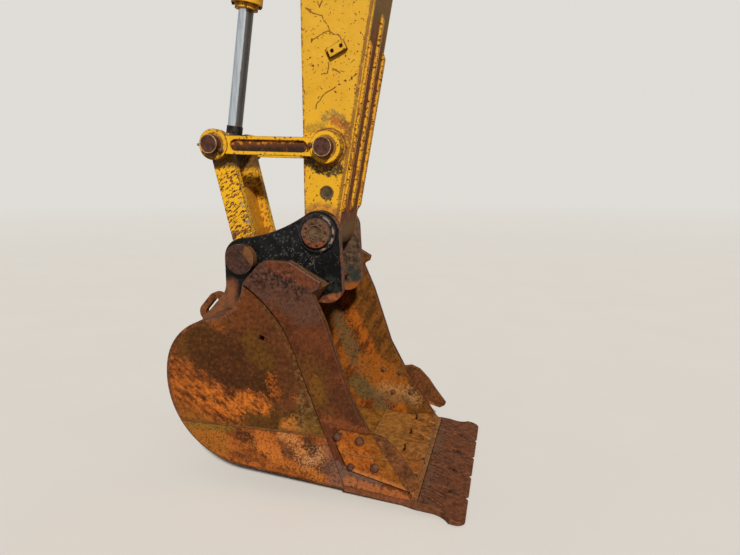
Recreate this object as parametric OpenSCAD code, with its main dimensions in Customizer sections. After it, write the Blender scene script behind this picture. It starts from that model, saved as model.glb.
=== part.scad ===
// Excavator dipper arm with its bucket cylinder, bucket linkage and toothed bucket.
// Millimetres. The origin is the centre of the boom pivot bore. +X points to the machine,
// -Y is the machine's left side and +Z is up. The arm hangs as it parks, teeth on the ground.

/* [Dipper arm] */
// Drop from the boom pivot to the bucket pin
stick_drop = 2863; // [2500:1:3200]
// Reach of the bucket pin ahead of the boom pivot
stick_reach = 450; // [380:1:520]
// Width over the arm's side plates
stick_w = 320; // [300:1:340]
// Thickness of the side plates
side_t = 12; // [8:1:16]
// Thickness of the front and belly plates
flange_t = 16; // [10:1:20]
// Outer radius of the arm's nose round the bucket pin
nose_r = 90; // [84:1:100]
// Radius of the belly corner round the boom pivot
belly_r = 149; // [130:1:170]
// Height of the arm cylinder pin above the boom pivot
horn_rise = 745; // [650:1:850]
// Reach of the arm cylinder pin ahead of the boom pivot
horn_reach = 170; // [100:1:240]
// Outer radius of the horn round the arm cylinder pin
horn_r = 105; // [98:1:120]
// Height of the front shoulder above the boom pivot
shoulder_rise = 100; // [0:1:200]
// Corner radius of the front shoulder
shoulder_r = 120; // [60:1:200]
// Gap of the horn's fork, for the arm cylinder's rod eye
horn_gap = 116; // [100:1:140]
// Boss radius round the boom pivot
pivot_boss_r = 86; // [80:1:100]
// Distance that the boom pivot boss stands out of each side plate
pivot_boss_out = 12; // [6:1:20]
// Bore radius of the boom pivot
pivot_bore_r = 45; // [35:1:55]
// Bore radius at the arm cylinder pin
horn_bore_r = 42.5; // [35:1:50]
// Height of the wear bars on the belly
bar_h = 16; // [10:1:24]
// Width of each wear bar
bar_w = 26; // [16:1:34]
// Length of the two outer wear bars
bar_run = 850; // [600:10:1100]
// Length of the middle wear bar
mid_bar_run = 1005; // [700:5:1300]
// Radius of the lifting hole in the side plates
side_hole_r = 32; // [20:1:40]

/* [Linkage] */
// Height of the idler pin above the bucket pin
idler_rise = 426; // [380:1:470]
// Distance of the idler pin behind the bucket pin
idler_set = 45; // [30:1:60]
// Idler arm length, pin to pin
idler_len = 614; // [580:1:650]
// Direction of the idler arm at rest, degrees from the machine's side
idler_rest = 177.9; // [172:0.1:182]
// Bucket link length, pin to pin
link_len = 612; // [590:1:650]
// Distance from the bucket pin to the link pin on the bucket
ear_len = 452; // [420:1:470]
// Radius of the idler arms' bosses
idler_boss_r = 80; // [70:1:90]
// Depth of the idler arms between their bosses
idler_depth = 94; // [70:1:110]
// Thickness of the idler arms
idler_t = 46; // [36:1:60]
// Radius of the linkage pins
pin_r = 40; // [34:1:45]
// Radius of the bucket pin
bucket_pin_r = 42; // [36:1:46]
// Running clearance of a pin in its bore
pin_fit = 0.05; // [0.02:0.01:0.1]
// Gap between faces that turn on each other
face_gap = 3; // [2:0.5:5]
// Radius of the bucket link's upper bosses
fork_boss_r = 72; // [64:1:80]
// Radius of the bucket link's lower boss
link_boss_r = 78; // [70:1:84]
// Depth of the bucket link's side arms
link_depth = 122; // [90:1:136]
// Thickness of the bucket link's side arms
link_t = 44; // [30:1:60]

/* [Bucket cylinder] */
// Drop of the cylinder's base pin below the boom pivot
base_drop = 255; // [200:1:320]
// Distance of the base pin in front of the arm's front face
base_out = 141; // [120:1:160]
// Outer radius of the barrel
barrel_r = 70; // [64:1:76]
// Wall of the barrel
barrel_wall = 11; // [8:1:14]
// Length of the barrel from the base pin to the gland's end
barrel_len = 1468; // [1400:1:1560]
// Radius of the rod
rod_r = 40; // [34:1:44]
// Length of rod inside the cylinder at rest
rod_in = 790; // [600:10:900]
// Width of the cylinder's eyes
eye_w = 100; // [80:1:106]
// Outer radius of the cylinder's eyes
eye_r = 70; // [60:1:76]

/* [Bucket] */
// Width over the bucket's side plates
bucket_w = 950; // [850:1:1050]
// Thickness of the wrapper plate
wrap_t = 16; // [10:1:22]
// Thickness of the side plates
cheek_t = 20; // [12:1:26]
// Thickness of the side bars
side_bar_t = 25; // [16:1:32]
// Heel radius of the wrapper
heel_r = 450; // [430:1:470]
// Shoulder radius of the wrapper
crown_r = 285; // [260:1:310]
// Thickness of the ear plates
ear_t = 45; // [36:1:56]
// Gap between the ear plates and the arm
ear_gap = 3; // [2:0.5:6]
// Drop from the bucket pin to the back of the cutting edge
lip_drop = 1248; // [1230:1:1270]
// Reach of the cutting edge's back ahead of the bucket pin
lip_reach = 212; // [200:1:224]
// Length of the cutting edge, back to front
lip_len = 366; // [350:1:380]
// Fall of the cutting edge towards its front, degrees
lip_fall = 5.65; // [4.5:0.05:7]
// Thickness of the cutting edge
lip_t = 38; // [28:1:45]
// Distance that the cutting edge stands out of each side plate at the teeth
lip_over = 25; // [16:1:32]
// Number of teeth
teeth = 5; // [5:1:5]
// Distance that the row of teeth overruns each side plate
row_over = 60; // [50:1:70]
// Width of the slots' lens between two teeth
tooth_slot = 44; // [30:1:52]
// Length of the teeth ahead of the cutting edge
tooth_len = 232; // [190:1:250]
// Thickness of the teeth at their tips
tip_t = 14; // [8:1:24]
// Thickness of the side cutters
cutter_t = 30; // [20:1:40]
// Thickness of the heel's side wear plates
heel_plate_t = 12; // [8:1:16]
// Radius of the ear round the bucket pin
ear_b_r = 112; // [100:1:120]
// Radius of the ear round the link pin
ear_c_r = 107; // [98:1:115]
// Radius of the ear's toe in front of the box
ear_toe_r = 86; // [70:1:100]
// Thickness of the ear's neck where it ends on the wrapper
neck_tip = 26; // [16:1:40]
// Radius of the hollow in the ear's upper edge
ear_dip_r = 800; // [600:10:1200]
// Distance that the pin ends stand out of the ears and idler arms
pin_out = 48; // [30:1:60]
// Width of the lifting eye's bar
eye_bar = 37; // [28:1:44]

/* [Hidden] */
$fn = 64;

paint = [0.85, 0.62, 0.12];
rust = [0.45, 0.26, 0.12];
black = [0.12, 0.12, 0.12];
steel = [0.5, 0.5, 0.52];

// Plane geometry. A point is [x, z] and a disc is [point, radius].

function unit(a) = [cos(a), sin(a)];
function heading(a, b) = atan2(b[1] - a[1], b[0] - a[0]);
function along(a, b, s) = a + s * (b - a) / norm(b - a);

// Where two circles cross, on the left of the way from a to b for side 1
function crossing(a, ra, b, rb, side) =
    let (d = norm(b - a), k = (ra * ra - rb * rb + d * d) / (2 * d))
    a + k * unit(heading(a, b)) + side * sqrt(ra * ra - k * k) * unit(heading(a, b) + 90);

// Direction from a disc's centre to where a taut belt leaves it for the next, anticlockwise
function leaving(a, b) = heading(a[0], b[0]) - acos((a[1] - b[1]) / norm(b[0] - a[0]));

// Corners of the belt's straight runs, with one corner where a disc's radius is zero
function belt_points(discs) = [
    for (i = [0:len(discs) - 1])
        let (a = discs[i], b = discs[(i + 1) % len(discs)], n = unit(leaving(a, b)))
        each b[1] > 0 ? [a[0] + a[1] * n, b[0] + b[1] * n] : [a[0] + a[1] * n]];

function grown(discs, t) = [for (d = discs) [d[0], d[1] + t]];

module disc(at, r) { translate(at) circle(r); }

// Straight edges run this far inside the arcs that they meet, so that they cross cleanly
seam = 0.05;

// Outline of a taut belt round discs that are listed anticlockwise
module belt(discs) {
    polygon(belt_points([for (d = discs) [d[0], max(d[1] - seam, 0)]]));
    for (d = discs) if (d[1] > 0) disc(d[0], d[1]);
}

// Strip between two offsets of a belt
module strip(discs, inner, outer) {
    difference() {
        belt(grown(discs, outer));
        belt(grown(discs, inner));
    }
}

// A plane shape in X and Z as a plate from y0 to y1
module plate(y0, y1) {
    translate([0, y1, 0]) rotate([90, 0, 0]) linear_extrude(y1 - y0) children();
}

// A round bar or bore across the arm
module round_y(at, r, y0, y1) { plate(y0, y1) disc(at, r); }

// The same plate on both sides, or on side s alone
module both(y0, y1) {
    plate(y0, y1) children();
    plate(-y1, -y0) children();
}
module on_side(s, y0, y1) {
    if (s > 0) plate(y0, y1) children();
    else plate(-y1, -y0) children();
}

// Pins
P = [0, 0];
B = [-stick_reach, -stick_drop];
S = [-horn_reach, horn_rise];
D = B + [idler_set, idler_rise];
E = D + idler_len * unit(idler_rest);
C = crossing(E, link_len, B, ear_len, -1);
front_x = B[0] - nose_r;
A = [front_x - base_out, -base_drop];
rod_dir = heading(A, E);

half_w = stick_w / 2;
inner_w = half_w - side_t;
shoulder = [front_x + shoulder_r, shoulder_rise];
arm_discs = [[B, nose_r], [P, belly_r], [S, horn_r], [shoulder, shoulder_r]];
nose_boss_r = nose_r - flange_t;
horn_boss_r = horn_r - flange_t;
idler_seat_r = idler_boss_r + 4;
belly_dir = heading(belt_points(arm_discs)[0], belt_points(arm_discs)[1]);
side_hole = B + [32, 200];

// Dipper arm

module arm_side(s) {
    color(paint) on_side(s, inner_w, half_w) difference() {
        belt(arm_discs);
        disc(B, nose_boss_r);
        disc(P, pivot_boss_r);
        disc(S, horn_boss_r);
        disc(D, idler_seat_r);
        disc(side_hole, side_hole_r);
    }
}

// The closed belt of plate between the side plates, cut open at the horn's fork
module arm_flange() {
    difference() {
        strip(arm_discs, -flange_t, 0);
        disc(S, horn_r + 62);
    }
}

// All that lies ahead of the line from the nose to the horn
module ahead() {
    big = stick_drop + horn_rise;
    a = along(S, B, -big);
    b = along(B, S, -big);
    polygon([a, b, b - [big, 0], a - [big, 0]]);
}

module stick_front_plate() {
    color(paint) plate(-inner_w, inner_w) intersection() { arm_flange(); ahead(); }
}

module stick_belly_plate() {
    color(paint) plate(-inner_w, inner_w) difference() { arm_flange(); ahead(); }
}

module tube_y(at, r, bore, y0, y1) {
    plate(y0, y1) difference() { disc(at, r); disc(at, bore); }
}

module nose_boss() { color(paint) tube_y(B, nose_boss_r, bucket_pin_r + pin_fit, -half_w, half_w); }

module idler_boss() {
    out = half_w + 4;
    color(paint) tube_y(D, idler_seat_r, pin_r + pin_fit, -out, out);
}

module boom_pivot_boss() {
    out = half_w + pivot_boss_out;
    color(paint) tube_y(P, pivot_boss_r, pivot_bore_r, -out, out);
}

module horn_bosses() {
    color(paint) both(horn_gap / 2, half_w + 6) difference() {
        disc(S, horn_boss_r);
        disc(S, horn_bore_r);
    }
}

bracket_gap = eye_w + 2 * face_gap;
bracket_t = 30;
bracket_out = bracket_gap / 2 + bracket_t;

module cylinder_bracket() {
    foot_below = 95;
    foot_above = 190;
    color(paint) both(bracket_gap / 2, bracket_out) difference() {
        belt([[[front_x, A[1] - foot_below], 0], [[front_x, A[1] + foot_above], 0], [A, eye_r + 8]]);
        disc(A, pin_r);
    }
}

module base_pin() {
    color(steel) {
        round_y(A, pin_r, -bracket_out - 14, bracket_out + 14);
        both(bracket_out, bracket_out + 14) disc(A, pin_r + 16);
    }
}

// Flat bars on the belly, their lower ends just above the nose
module wear_bars() {
    start = belt_points(arm_discs)[0] + (nose_r + 25) * unit(belly_dir);
    out = unit(belly_dir - 90);
    taper = 2 * bar_h;
    for (i = [-1:1]) {
        y = i * (half_w - bar_w / 2 - 4);
        run = i == 0 ? mid_bar_run : bar_run;
        color(paint) plate(y - bar_w / 2, y + bar_w / 2) polygon([
            start, start + run * unit(belly_dir),
            start + (run - taper) * unit(belly_dir) + bar_h * out,
            start + taper * unit(belly_dir) + bar_h * out]);
    }
}

clamp_at = [-350, -1969];

// Blocks with two holes that carry the hoses along each side
module hose_clamps() {
    color(paint) both(half_w, half_w + 26) translate(clamp_at) rotate(25) difference() {
        square([92, 46], center = true);
        for (x = [-25, 25]) disc([x, 0], 9);
    }
}

// Linkage

idler_in = half_w + 4 + face_gap;
idler_out = idler_in + idler_t;
idler_boss_out = idler_out + 6;

// An arm of I section with a round boss at each end
module idler_arm(s) {
    pocket_r = idler_depth / 2 - 18;
    pocket_t = (idler_t - 18) / 2;
    a = along(D, E, idler_boss_r + 44);
    b = along(E, D, idler_boss_r + 44);
    color(paint) difference() {
        union() {
            on_side(s, idler_in, idler_out) belt([[D, idler_depth / 2], [E, idler_depth / 2]]);
            for (p = [D, E]) on_side(s, idler_in, idler_boss_out) disc(p, idler_boss_r);
        }
        for (p = [D, E]) on_side(s, idler_in - 1, idler_boss_out + 1) disc(p, pin_r);
        for (y = [idler_in - 1, idler_out - pocket_t])
            on_side(s, y, y + pocket_t + 1) belt([[a, pocket_r], [b, pocket_r]]);
    }
}

module pin_head(at, r, y0, y1) { both(y0, y1) disc(at, r); }

module idler_pin() {
    color(rust) {
        round_y(D, pin_r, -idler_boss_out, idler_boss_out);
        pin_head(D, pin_r + 7, idler_boss_out, idler_boss_out + pin_out);
    }
}

link_out = idler_in - face_gap;
link_in = eye_w / 2 + 6;

// The rod's pin is in parts, one for each piece that it goes through: its ends in the
// idler arms, two lengths in the link's fork and one in the rod's eye
module idler_pin_ends() {
    color(rust) {
        both(idler_in, idler_boss_out) disc(E, pin_r);
        pin_head(E, pin_r + 7, idler_boss_out, idler_boss_out + pin_out);
    }
}

module fork_pins() { color(steel) both(link_in, link_out) disc(E, pin_r); }

// An H section link: two side arms, a web set between them and a full-width lower boss
module bucket_link() {
    low_out = half_w - 2;
    arm_out = low_out - 4;
    web_a = along(E, C, 0.4 * link_len);
    web_b = along(C, E, link_boss_r - 4);
    color(paint) difference() {
        union() {
            both(link_in, link_out) disc(E, fork_boss_r);
            both(arm_out - link_t, arm_out) belt([[E, link_depth / 2], [C, link_depth / 2]]);
            round_y(C, link_boss_r, -low_out, low_out);
            plate(-arm_out + link_t, arm_out - link_t) belt([[web_a, 14], [web_b, 14]]);
        }
        round_y(C, pin_r + pin_fit, -half_w, half_w);
        both(link_in - 1, link_out + 1) disc(E, pin_r);
    }
}

// Bucket cylinder, drawn along +X from its base pin and then leaned

module on_cylinder() { translate([A[0], 0, A[1]]) rotate([0, -rod_dir, 0]) children(); }
module turned_x(r, x0, x1) { translate([x0, 0, 0]) rotate([0, 90, 0]) cylinder(r = r, h = x1 - x0); }
rest_len = norm(E - A);
gland_len = 90;
barrel_from = eye_r + 45;

module barrel() {
    color(paint) on_cylinder() difference() {
        turned_x(barrel_r, barrel_from, barrel_len - gland_len);
        turned_x(barrel_r - barrel_wall, barrel_from + 30, barrel_len);
    }
}

module barrel_eye() {
    color(paint) on_cylinder() difference() {
        union() {
            translate([0, eye_w / 2, 0]) rotate([90, 0, 0]) cylinder(r = eye_r, h = eye_w);
            intersection() {
                turned_x(barrel_r, 0, barrel_from);
                translate([0, -eye_w / 2, -barrel_r]) cube([barrel_from, eye_w, 2 * barrel_r]);
            }
        }
        translate([0, eye_w, 0]) rotate([90, 0, 0]) cylinder(r = pin_r + pin_fit, h = 2 * eye_w);
    }
}

module gland() {
    color(paint) on_cylinder() difference() {
        union() {
            turned_x(barrel_r + 12, barrel_len - gland_len, barrel_len - 24);
            turned_x(barrel_r - 9, barrel_len - 24, barrel_len);
        }
        turned_x(rod_r + pin_fit, 0, barrel_len + 1);
    }
}

// Two hard pipes along the barrel's front, from its base to its rod end
module oil_pipes() {
    pipe_r = 11;
    stand_off = barrel_r + 16;
    color(paint) on_cylinder() difference() {
        for (s = [-1, 1]) translate([0, s * 30, 0]) {
            top = s < 0 ? barrel_len - gland_len - 60 : barrel_from + 220;
            translate([0, 0, -stand_off]) turned_x(pipe_r, barrel_from + 60, top);
            translate([top, 0, -stand_off]) cylinder(r = pipe_r, h = stand_off);
        }
        turned_x(barrel_r, 0, barrel_len);
    }
}

module rod() {
    color(steel) on_cylinder() {
        turned_x(rod_r, barrel_len - rod_in, rest_len - eye_r);
    }
}

module rod_eye() {
    neck = rod_r + 4;
    color(rust) on_cylinder() difference() {
        union() {
            translate([rest_len, eye_w / 2, 0]) rotate([90, 0, 0]) cylinder(r = eye_r, h = eye_w);
            turned_x(neck, rest_len - eye_r - 42, rest_len - eye_r + 16);
        }
        turned_x(rod_r, 0, rest_len - eye_r);
        translate([rest_len, eye_w, 0]) rotate([90, 0, 0]) cylinder(r = pin_r, h = 2 * eye_w);
    }
}

module rod_pin() {
    color(steel) on_cylinder() translate([rest_len, eye_w / 2, 0]) rotate([90, 0, 0])
        cylinder(r = pin_r, h = eye_w);
}

// Bucket. Its points are measured from the bucket pin.

half_b = bucket_w / 2;
heel = B + [-302, -743];
heel_turn = 168;
crown = heel + (heel_r - crown_r) * unit(heel_turn);
scoop_r = 208;
scoop = B + [-508, -215];
lip_run = -lip_fall;
lip_back = B + [lip_reach, -lip_drop];
lip_front = lip_back + lip_len * unit(lip_run);
box_back = B + [-298, -238];
box_top = B + [-150, -146];
box_nose = B + [58, -263];
box_low = B + [-4, -345];
box_in = B + [-110, -387];
box = [box_back, box_in, box_low, box_nose, box_top];
box_t = 14;
// Inner corners of the box: each is moved in from the crossing of its two walls
function inset_corner(a, b, c, t) =
    let (u = unit(heading(a, b)), v = unit(heading(b, c)), k = t / (u[0] * v[1] - u[1] * v[0]))
    b + k * (v - u);
box_hollow = [for (i = [0:len(box) - 1])
    inset_corner(box[(i + 4) % 5], box[i], box[(i + 1) % 5], box_t)];
// A point on the cutting edge's upper face, s ahead of its back
function on_edge(s) = lip_back + s * unit(lip_run) + lip_t * unit(lip_run + 90);
// The side's brow, which hides the box's end and juts out a little ahead of it
brow = [for (p = [[64, -262], [70, -250], [97, -236], [106, -204], [-45, -116], [-163, -112],
                  [-194, -125], [-259, -193]]) B + p];
// The side's hollow front edge, from the cutting edge up to the brow
mouth_low = on_edge(lip_len - 34);
function hollow(part, depth) =
    mouth_low + part * (brow[0] - mouth_low) + depth * unit(heading(mouth_low, brow[0]) + 90);
mouth_edge = [mouth_low, hollow(0.317, 48), hollow(0.526, 56), hollow(0.85, 7)];

// The bucket's side view, inset by t from the outside of the wrapper
module bucket_side(t) {
    low = lip_back + t * unit(lip_run + 90);
    leave = unit(heading(heel, low) - acos((heel_r - t) / norm(low - heel)));
    difference() {
        union() {
            polygon([heel, heel + (heel_r - t) * leave, low, on_edge(0), each mouth_edge,
                     brow[0], box_in, box_back,
                     scoop + (scoop_r + t) * unit(heading(scoop, crown)), crown]);
            intersection() {
                disc(heel, heel_r - t);
                polygon([heel, heel + 2 * heel_r * unit(heel_turn),
                         heel + 2 * heel_r * unit(heel_turn + 45), heel + 2 * heel_r * leave]);
            }
            disc(crown, crown_r - t);
        }
        disc(scoop, scoop_r + t);
    }
}

module wrapper() {
    color(rust) plate(-half_b, half_b) difference() { bucket_side(0); bucket_side(wrap_t); mouth(); }
}

// Everything ahead of the bucket's mouth
module mouth() {
    far = 2 * lip_len;
    polygon([box_back + [6, -6], box_back + [20, heel_r], lip_back + [far, lip_drop],
             lip_back + [far, -far], lip_back + [0, -far], lip_back + [0, 20], lip_back + [-4, 22]]);
}

module cheek(s) {
    hole = 30;
    color(rust) on_side(s, half_b - cheek_t, half_b) difference() {
        union() {
            bucket_side(wrap_t);
            polygon([box_back, box_in, each brow]);
        }
        translate(B + [-209, -501]) rotate(-20) square(hole, center = true);
    }
}

// The closed box beam under the ears, which stiffens the bucket's back
module top_box() {
    color(rust) difference() {
        plate(-half_b + cheek_t, half_b - cheek_t) difference() {
            polygon(box);
            polygon(box_hollow);
        }
        both(ear_in, ear_out) ear_outline();
    }
}

// The side bar's rear edge is a round hollow with a straight run down to the cutting edge
bar_curve = [box_back + [-326, -520], 629];
function tangent(p, d) = crossing(d[0], d[1], p, sqrt(pow(norm(p - d[0]), 2) - d[1] * d[1]), 1);

module bar_outline() {
    difference() {
        polygon([box_back, tangent(on_edge(0), bar_curve), on_edge(0), each mouth_edge, each brow]);
        disc(bar_curve[0], bar_curve[1] + seam);
    }
}

module side_bar(s) { color(rust) on_side(s, half_b, half_b + side_bar_t) bar_outline(); }

// The plate on the heel's side, level across the top, that meets the side bar
module heel_plate(s) {
    top = heel[1] - 0.5 * heel_r;
    color(rust) on_side(s, half_b, half_b + heel_plate_t) difference() {
        intersection() {
            bucket_side(wrap_t);
            polygon([[heel[0] - heel_r, top], [heel[0] - heel_r, top - heel_r],
                     [lip_back[0] + heel_r, top - heel_r], [lip_back[0] + heel_r, top]]);
        }
        bar_outline();
        polygon([on_edge(0), tangent(on_edge(0), bar_curve), mouth_low]);
    }
}

ear_in = half_w + ear_gap;
ear_out = ear_in + ear_t;

ear_toe = B + [42, -282];
// The neck runs straight down from the link pin's lobe and leans out along the wrapper to its
// end, with a round hollow in the bend
neck_x = C[0] - ear_c_r + seam;
neck_out = unit(137);
neck_end = crown + (crown_r + neck_tip) * neck_out;
neck_dip_r = 110;
neck_dip_x = neck_x - neck_dip_r;
neck_dip = [neck_dip_x, crown[1] + (crown_r + neck_tip + neck_dip_r
                                    - (neck_dip_x - crown[0]) * neck_out[0]) / neck_out[1]];

// The ear plate's whole outline: both pin lobes, the toe in front of the box
// and the neck that runs down the wrapper's back
module ear_outline() {
    dip = crossing(C, ear_c_r + ear_dip_r, B, ear_b_r + ear_dip_r, 1);
    difference() {
        belt([[C, ear_c_r], [scoop + [210, -60], 50], [ear_toe, ear_toe_r], [B, ear_b_r]]);
        disc(dip, ear_dip_r + seam);
        difference() { bucket_side(0); bucket_side(wrap_t); }
    }
    difference() {
        polygon([C, [neck_x, C[1]], [neck_x, neck_dip[1]], neck_dip - neck_dip_r * neck_out,
                 neck_end, crown, scoop + [200, 0]]);
        disc(neck_dip, neck_dip_r + seam);
        bucket_side(0);
    }
}

module ear(s) {
    color(black) on_side(s, ear_in, ear_out) difference() {
        ear_outline();
        disc(B, bucket_pin_r);
        disc(C, pin_r);
    }
}

module bucket_pin() {
    color(rust) {
        round_y(B, bucket_pin_r, -ear_out, ear_out);
        pin_head(B, 98, ear_out, ear_out + 0.5 * pin_out);
        both(ear_out + 0.5 * pin_out, ear_out + pin_out) difference() {
            disc(B, 74);
            disc(B, 36);
        }
    }
}

module link_pin() {
    color(rust) {
        round_y(C, pin_r, -ear_out, ear_out);
        pin_head(C, 80, ear_out, ear_out + pin_out);
    }
}

module on_lip() { translate([lip_front[0], 0, lip_front[1]]) rotate([0, -lip_run, 0]) children(); }

module cutting_edge() {
    w = half_b + lip_over;
    back_w = half_b + 12;
    flare = 60;
    color(rust) on_lip() linear_extrude(lip_t) polygon([
        [-lip_len, -back_w], [-flare, -back_w], [0, -w], [0, w], [-flare, back_w], [-lip_len, back_w]]);
}

pitch = (bucket_w + 2 * row_over) / teeth;
function tooth_y(i) = (i - (teeth + 1) / 2) * pitch;

// The adapters' tongues on the cutting edge, which spread to the teeth's pitch. The outer
// ones are cut off at the side plates.
module adapters() {
    w = 0.92 * pitch;
    rear_r = 24;
    side_y = half_b - cheek_t - 5;
    color(rust) on_lip() translate([0, 0, lip_t]) linear_extrude(26) intersection() {
        for (i = [1:teeth]) translate([0, 0.96 * tooth_y(i)])
            belt([[[-131, 0], rear_r], [[-26, -w / 2], 0], [[-26, w / 2], 0]]);
        square([2 * lip_len, 2 * side_y], center = true);
    }
}

// A wedge with half a lens cut out of each side and a tip a little narrower than its base.
// The end teeth flare out from the cutting edge's ends to a well rounded corner.
module tooth(i) {
    w = pitch - 6;
    tip_w = pitch - 26;
    lens_r = 38;
    lens_at = 0.46 * tooth_len;
    flare_r = 100;
    flare_at = 0.32 * tooth_len;
    shoulder_at = 0.74 * tooth_len;
    end_w = half_b + lip_over - abs(tooth_y(i));
    ends = [i == 1, i == teeth];
    r = [for (e = ends) e ? 44 : 20];
    out = [for (e = ends) e ? tip_w / 2 + 29 : tip_w / 2];
    color(rust) on_lip() intersection() {
        linear_extrude(lip_t) translate([0, tooth_y(i)]) difference() {
            belt([[[0, -w / 2], 0], if (!ends[0]) [[shoulder_at, -w / 2], 0],
                  [[tooth_len - r[0], r[0] - out[0]], r[0]], [[tooth_len - r[1], out[1] - r[1]], r[1]],
                  if (!ends[1]) [[shoulder_at, w / 2], 0], [[0, w / 2], 0]]);
            for (k = [0, 1]) mirror([0, 1 - k])
                if (ends[k]) belt([for (x = [-flare_r, flare_at]) [[x, end_w + flare_r], flare_r]]);
                else disc([lens_at, w / 2 + lens_r - tooth_slot / 2], lens_r);
        }
        plate(-bucket_w, bucket_w)
            polygon([[0, 0], [tooth_len, 0], [tooth_len, tip_t], [0.2 * tooth_len, lip_t], [0, lip_t]]);
    }
}

// A plate bolted outside the side bar, planed away towards its front edge
module side_cutter(s) {
    bevel = [lip_back + [166, 317], lip_back + [295, 120]];
    ahead_dir = heading(bevel[0], bevel[1]) + 90;
    y0 = half_b + side_bar_t;
    color(rust) difference() {
        on_side(s, y0, y0 + cutter_t)
            polygon([for (p = [[-9, 334], [110, 323], [158, 332], [213, 313], [273, 255], [320, 188],
                               [386, 105], [380, 86], [348, 66], [250, 90], [56, 136], [23, 164],
                               [-24, 265]]) lip_back + p]);
        translate([bevel[0][0], s * (y0 + cutter_t), bevel[0][1]]) rotate([0, -ahead_dir, 0])
            rotate([0, 0, -s * 15]) translate([-lip_len, s > 0 ? 0 : -cutter_t, -lip_len])
                cube([2 * lip_len, cutter_t, 2 * lip_len]);
    }
}

// A hoop of thick plate on the wrapper's back, midway between the ears
module lifting_eye() {
    corner = 58;
    out = 133;
    from = 132;
    to = 145.5;
    foot = 0.9 * crown_r;
    top = crown_r + out - corner;
    color(rust) plate(-20, 20) difference() {
        strip([[crown + top * unit(from), corner], [crown + top * unit(to), corner],
               [crown + foot * unit(to), corner], [crown + foot * unit(from), corner]], -eye_bar, 0);
        disc(crown, crown_r);
    }
}

arm_side(-1);  // stick_side_left
arm_side(1);  // stick_side_right
stick_front_plate();
stick_belly_plate();
nose_boss();
idler_boss();
boom_pivot_boss();
horn_bosses();
cylinder_bracket();
wear_bars();
hose_clamps();
base_pin();
idler_arm(-1);  // idler_arm_left
idler_arm(1);  // idler_arm_right
idler_pin();
idler_pin_ends();
bucket_link();
fork_pins();
barrel();
barrel_eye();
gland();
oil_pipes();
rod();
rod_eye();
rod_pin();
wrapper();
top_box();
cheek(-1);  // cheek_left
cheek(1);  // cheek_right
side_bar(-1);  // side_bar_left
side_bar(1);  // side_bar_right
heel_plate(-1);  // heel_plate_left
heel_plate(1);  // heel_plate_right
ear(-1);  // ear_left
ear(1);  // ear_right
cutting_edge();
adapters();
tooth(1);  // tooth_1
tooth(2);  // tooth_2
tooth(3);  // tooth_3
tooth(4);  // tooth_4
tooth(5);  // tooth_5
side_cutter(-1);  // side_cutter_left
side_cutter(1);  // side_cutter_right
lifting_eye();
bucket_pin();
link_pin();
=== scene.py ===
"""Finishes and fittings of a hanging excavator dipper arm with its bucket.

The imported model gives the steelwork. This script paints it, adds the small fittings, lights it
and sets the camera. Sizes are metres, and the origin is the boom pivot.
"""
import math

import bmesh
import bpy
from bpy.props import FloatProperty, FloatVectorProperty, IntProperty, PointerProperty
from mathutils import Matrix, Vector


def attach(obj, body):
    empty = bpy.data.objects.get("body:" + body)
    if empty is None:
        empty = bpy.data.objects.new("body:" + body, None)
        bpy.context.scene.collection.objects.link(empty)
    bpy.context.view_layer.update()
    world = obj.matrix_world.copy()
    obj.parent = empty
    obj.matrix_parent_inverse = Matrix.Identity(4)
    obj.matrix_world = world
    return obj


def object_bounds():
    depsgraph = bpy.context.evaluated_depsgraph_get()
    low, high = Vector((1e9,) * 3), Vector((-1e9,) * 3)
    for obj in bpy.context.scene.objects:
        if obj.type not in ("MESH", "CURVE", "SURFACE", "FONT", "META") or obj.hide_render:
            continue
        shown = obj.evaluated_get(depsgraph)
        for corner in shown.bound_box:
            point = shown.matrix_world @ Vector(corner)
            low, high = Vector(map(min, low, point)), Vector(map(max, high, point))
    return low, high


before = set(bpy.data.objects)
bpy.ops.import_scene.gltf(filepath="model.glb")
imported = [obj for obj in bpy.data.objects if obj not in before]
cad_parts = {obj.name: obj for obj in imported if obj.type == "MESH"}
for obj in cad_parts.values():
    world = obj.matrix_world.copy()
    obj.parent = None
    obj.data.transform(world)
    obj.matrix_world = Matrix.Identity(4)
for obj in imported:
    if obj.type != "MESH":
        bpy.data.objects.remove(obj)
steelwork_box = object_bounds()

bl_info = {
    "name": "Excavator arm finishes",
    "version": (1, 0, 0),
    "blender": (4, 5, 0),
    "location": "View3D > Sidebar > Arm",
    "description": "Paints and fits out an excavator dipper arm with its bucket",
    "category": "Object",
}

# Pins and centres in the arm's plane, as in the part's source: (x, z)
BUCKET_PIN = (-0.450, -2.863)
IDLER_PIN = (-0.405, -2.437)
ROD_PIN = (-1.01859, -2.41450)
LINK_PIN = (-0.87743, -3.01000)
BASE_PIN = (-0.681, -0.255)
HORN_PIN = (-0.170, 0.745)
SIDE_HOLE = (-0.418, -2.663)
SCOOP, SCOOP_R = (-0.958, -3.078), 0.208
SIDE_BAR_HOLLOW = (-1.074, -3.621)

# Faces across the arm, from its middle
HALF_ARM = 0.160
CLAMP_OUT = 0.186
EAR_OUT, EAR_IN = 0.208, 0.163
IDLER_OUT = 0.219
PIN_OUT = 0.048
CHEEK_IN = 0.455
SIDE_BAR_OUT = 0.500
CUTTER_OUT = 0.530

# The cutting edge's back corner, its slope and size; teeth run on ahead of it
LIP_SLOPE = math.radians(-5.65)
LIP_BACK = (BUCKET_PIN[0] + 0.212, BUCKET_PIN[1] - 1.248)
LIP_LENGTH, LIP_THICK = 0.366, 0.038
TEETH, TOOTH_PITCH = 5, 0.214

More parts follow.
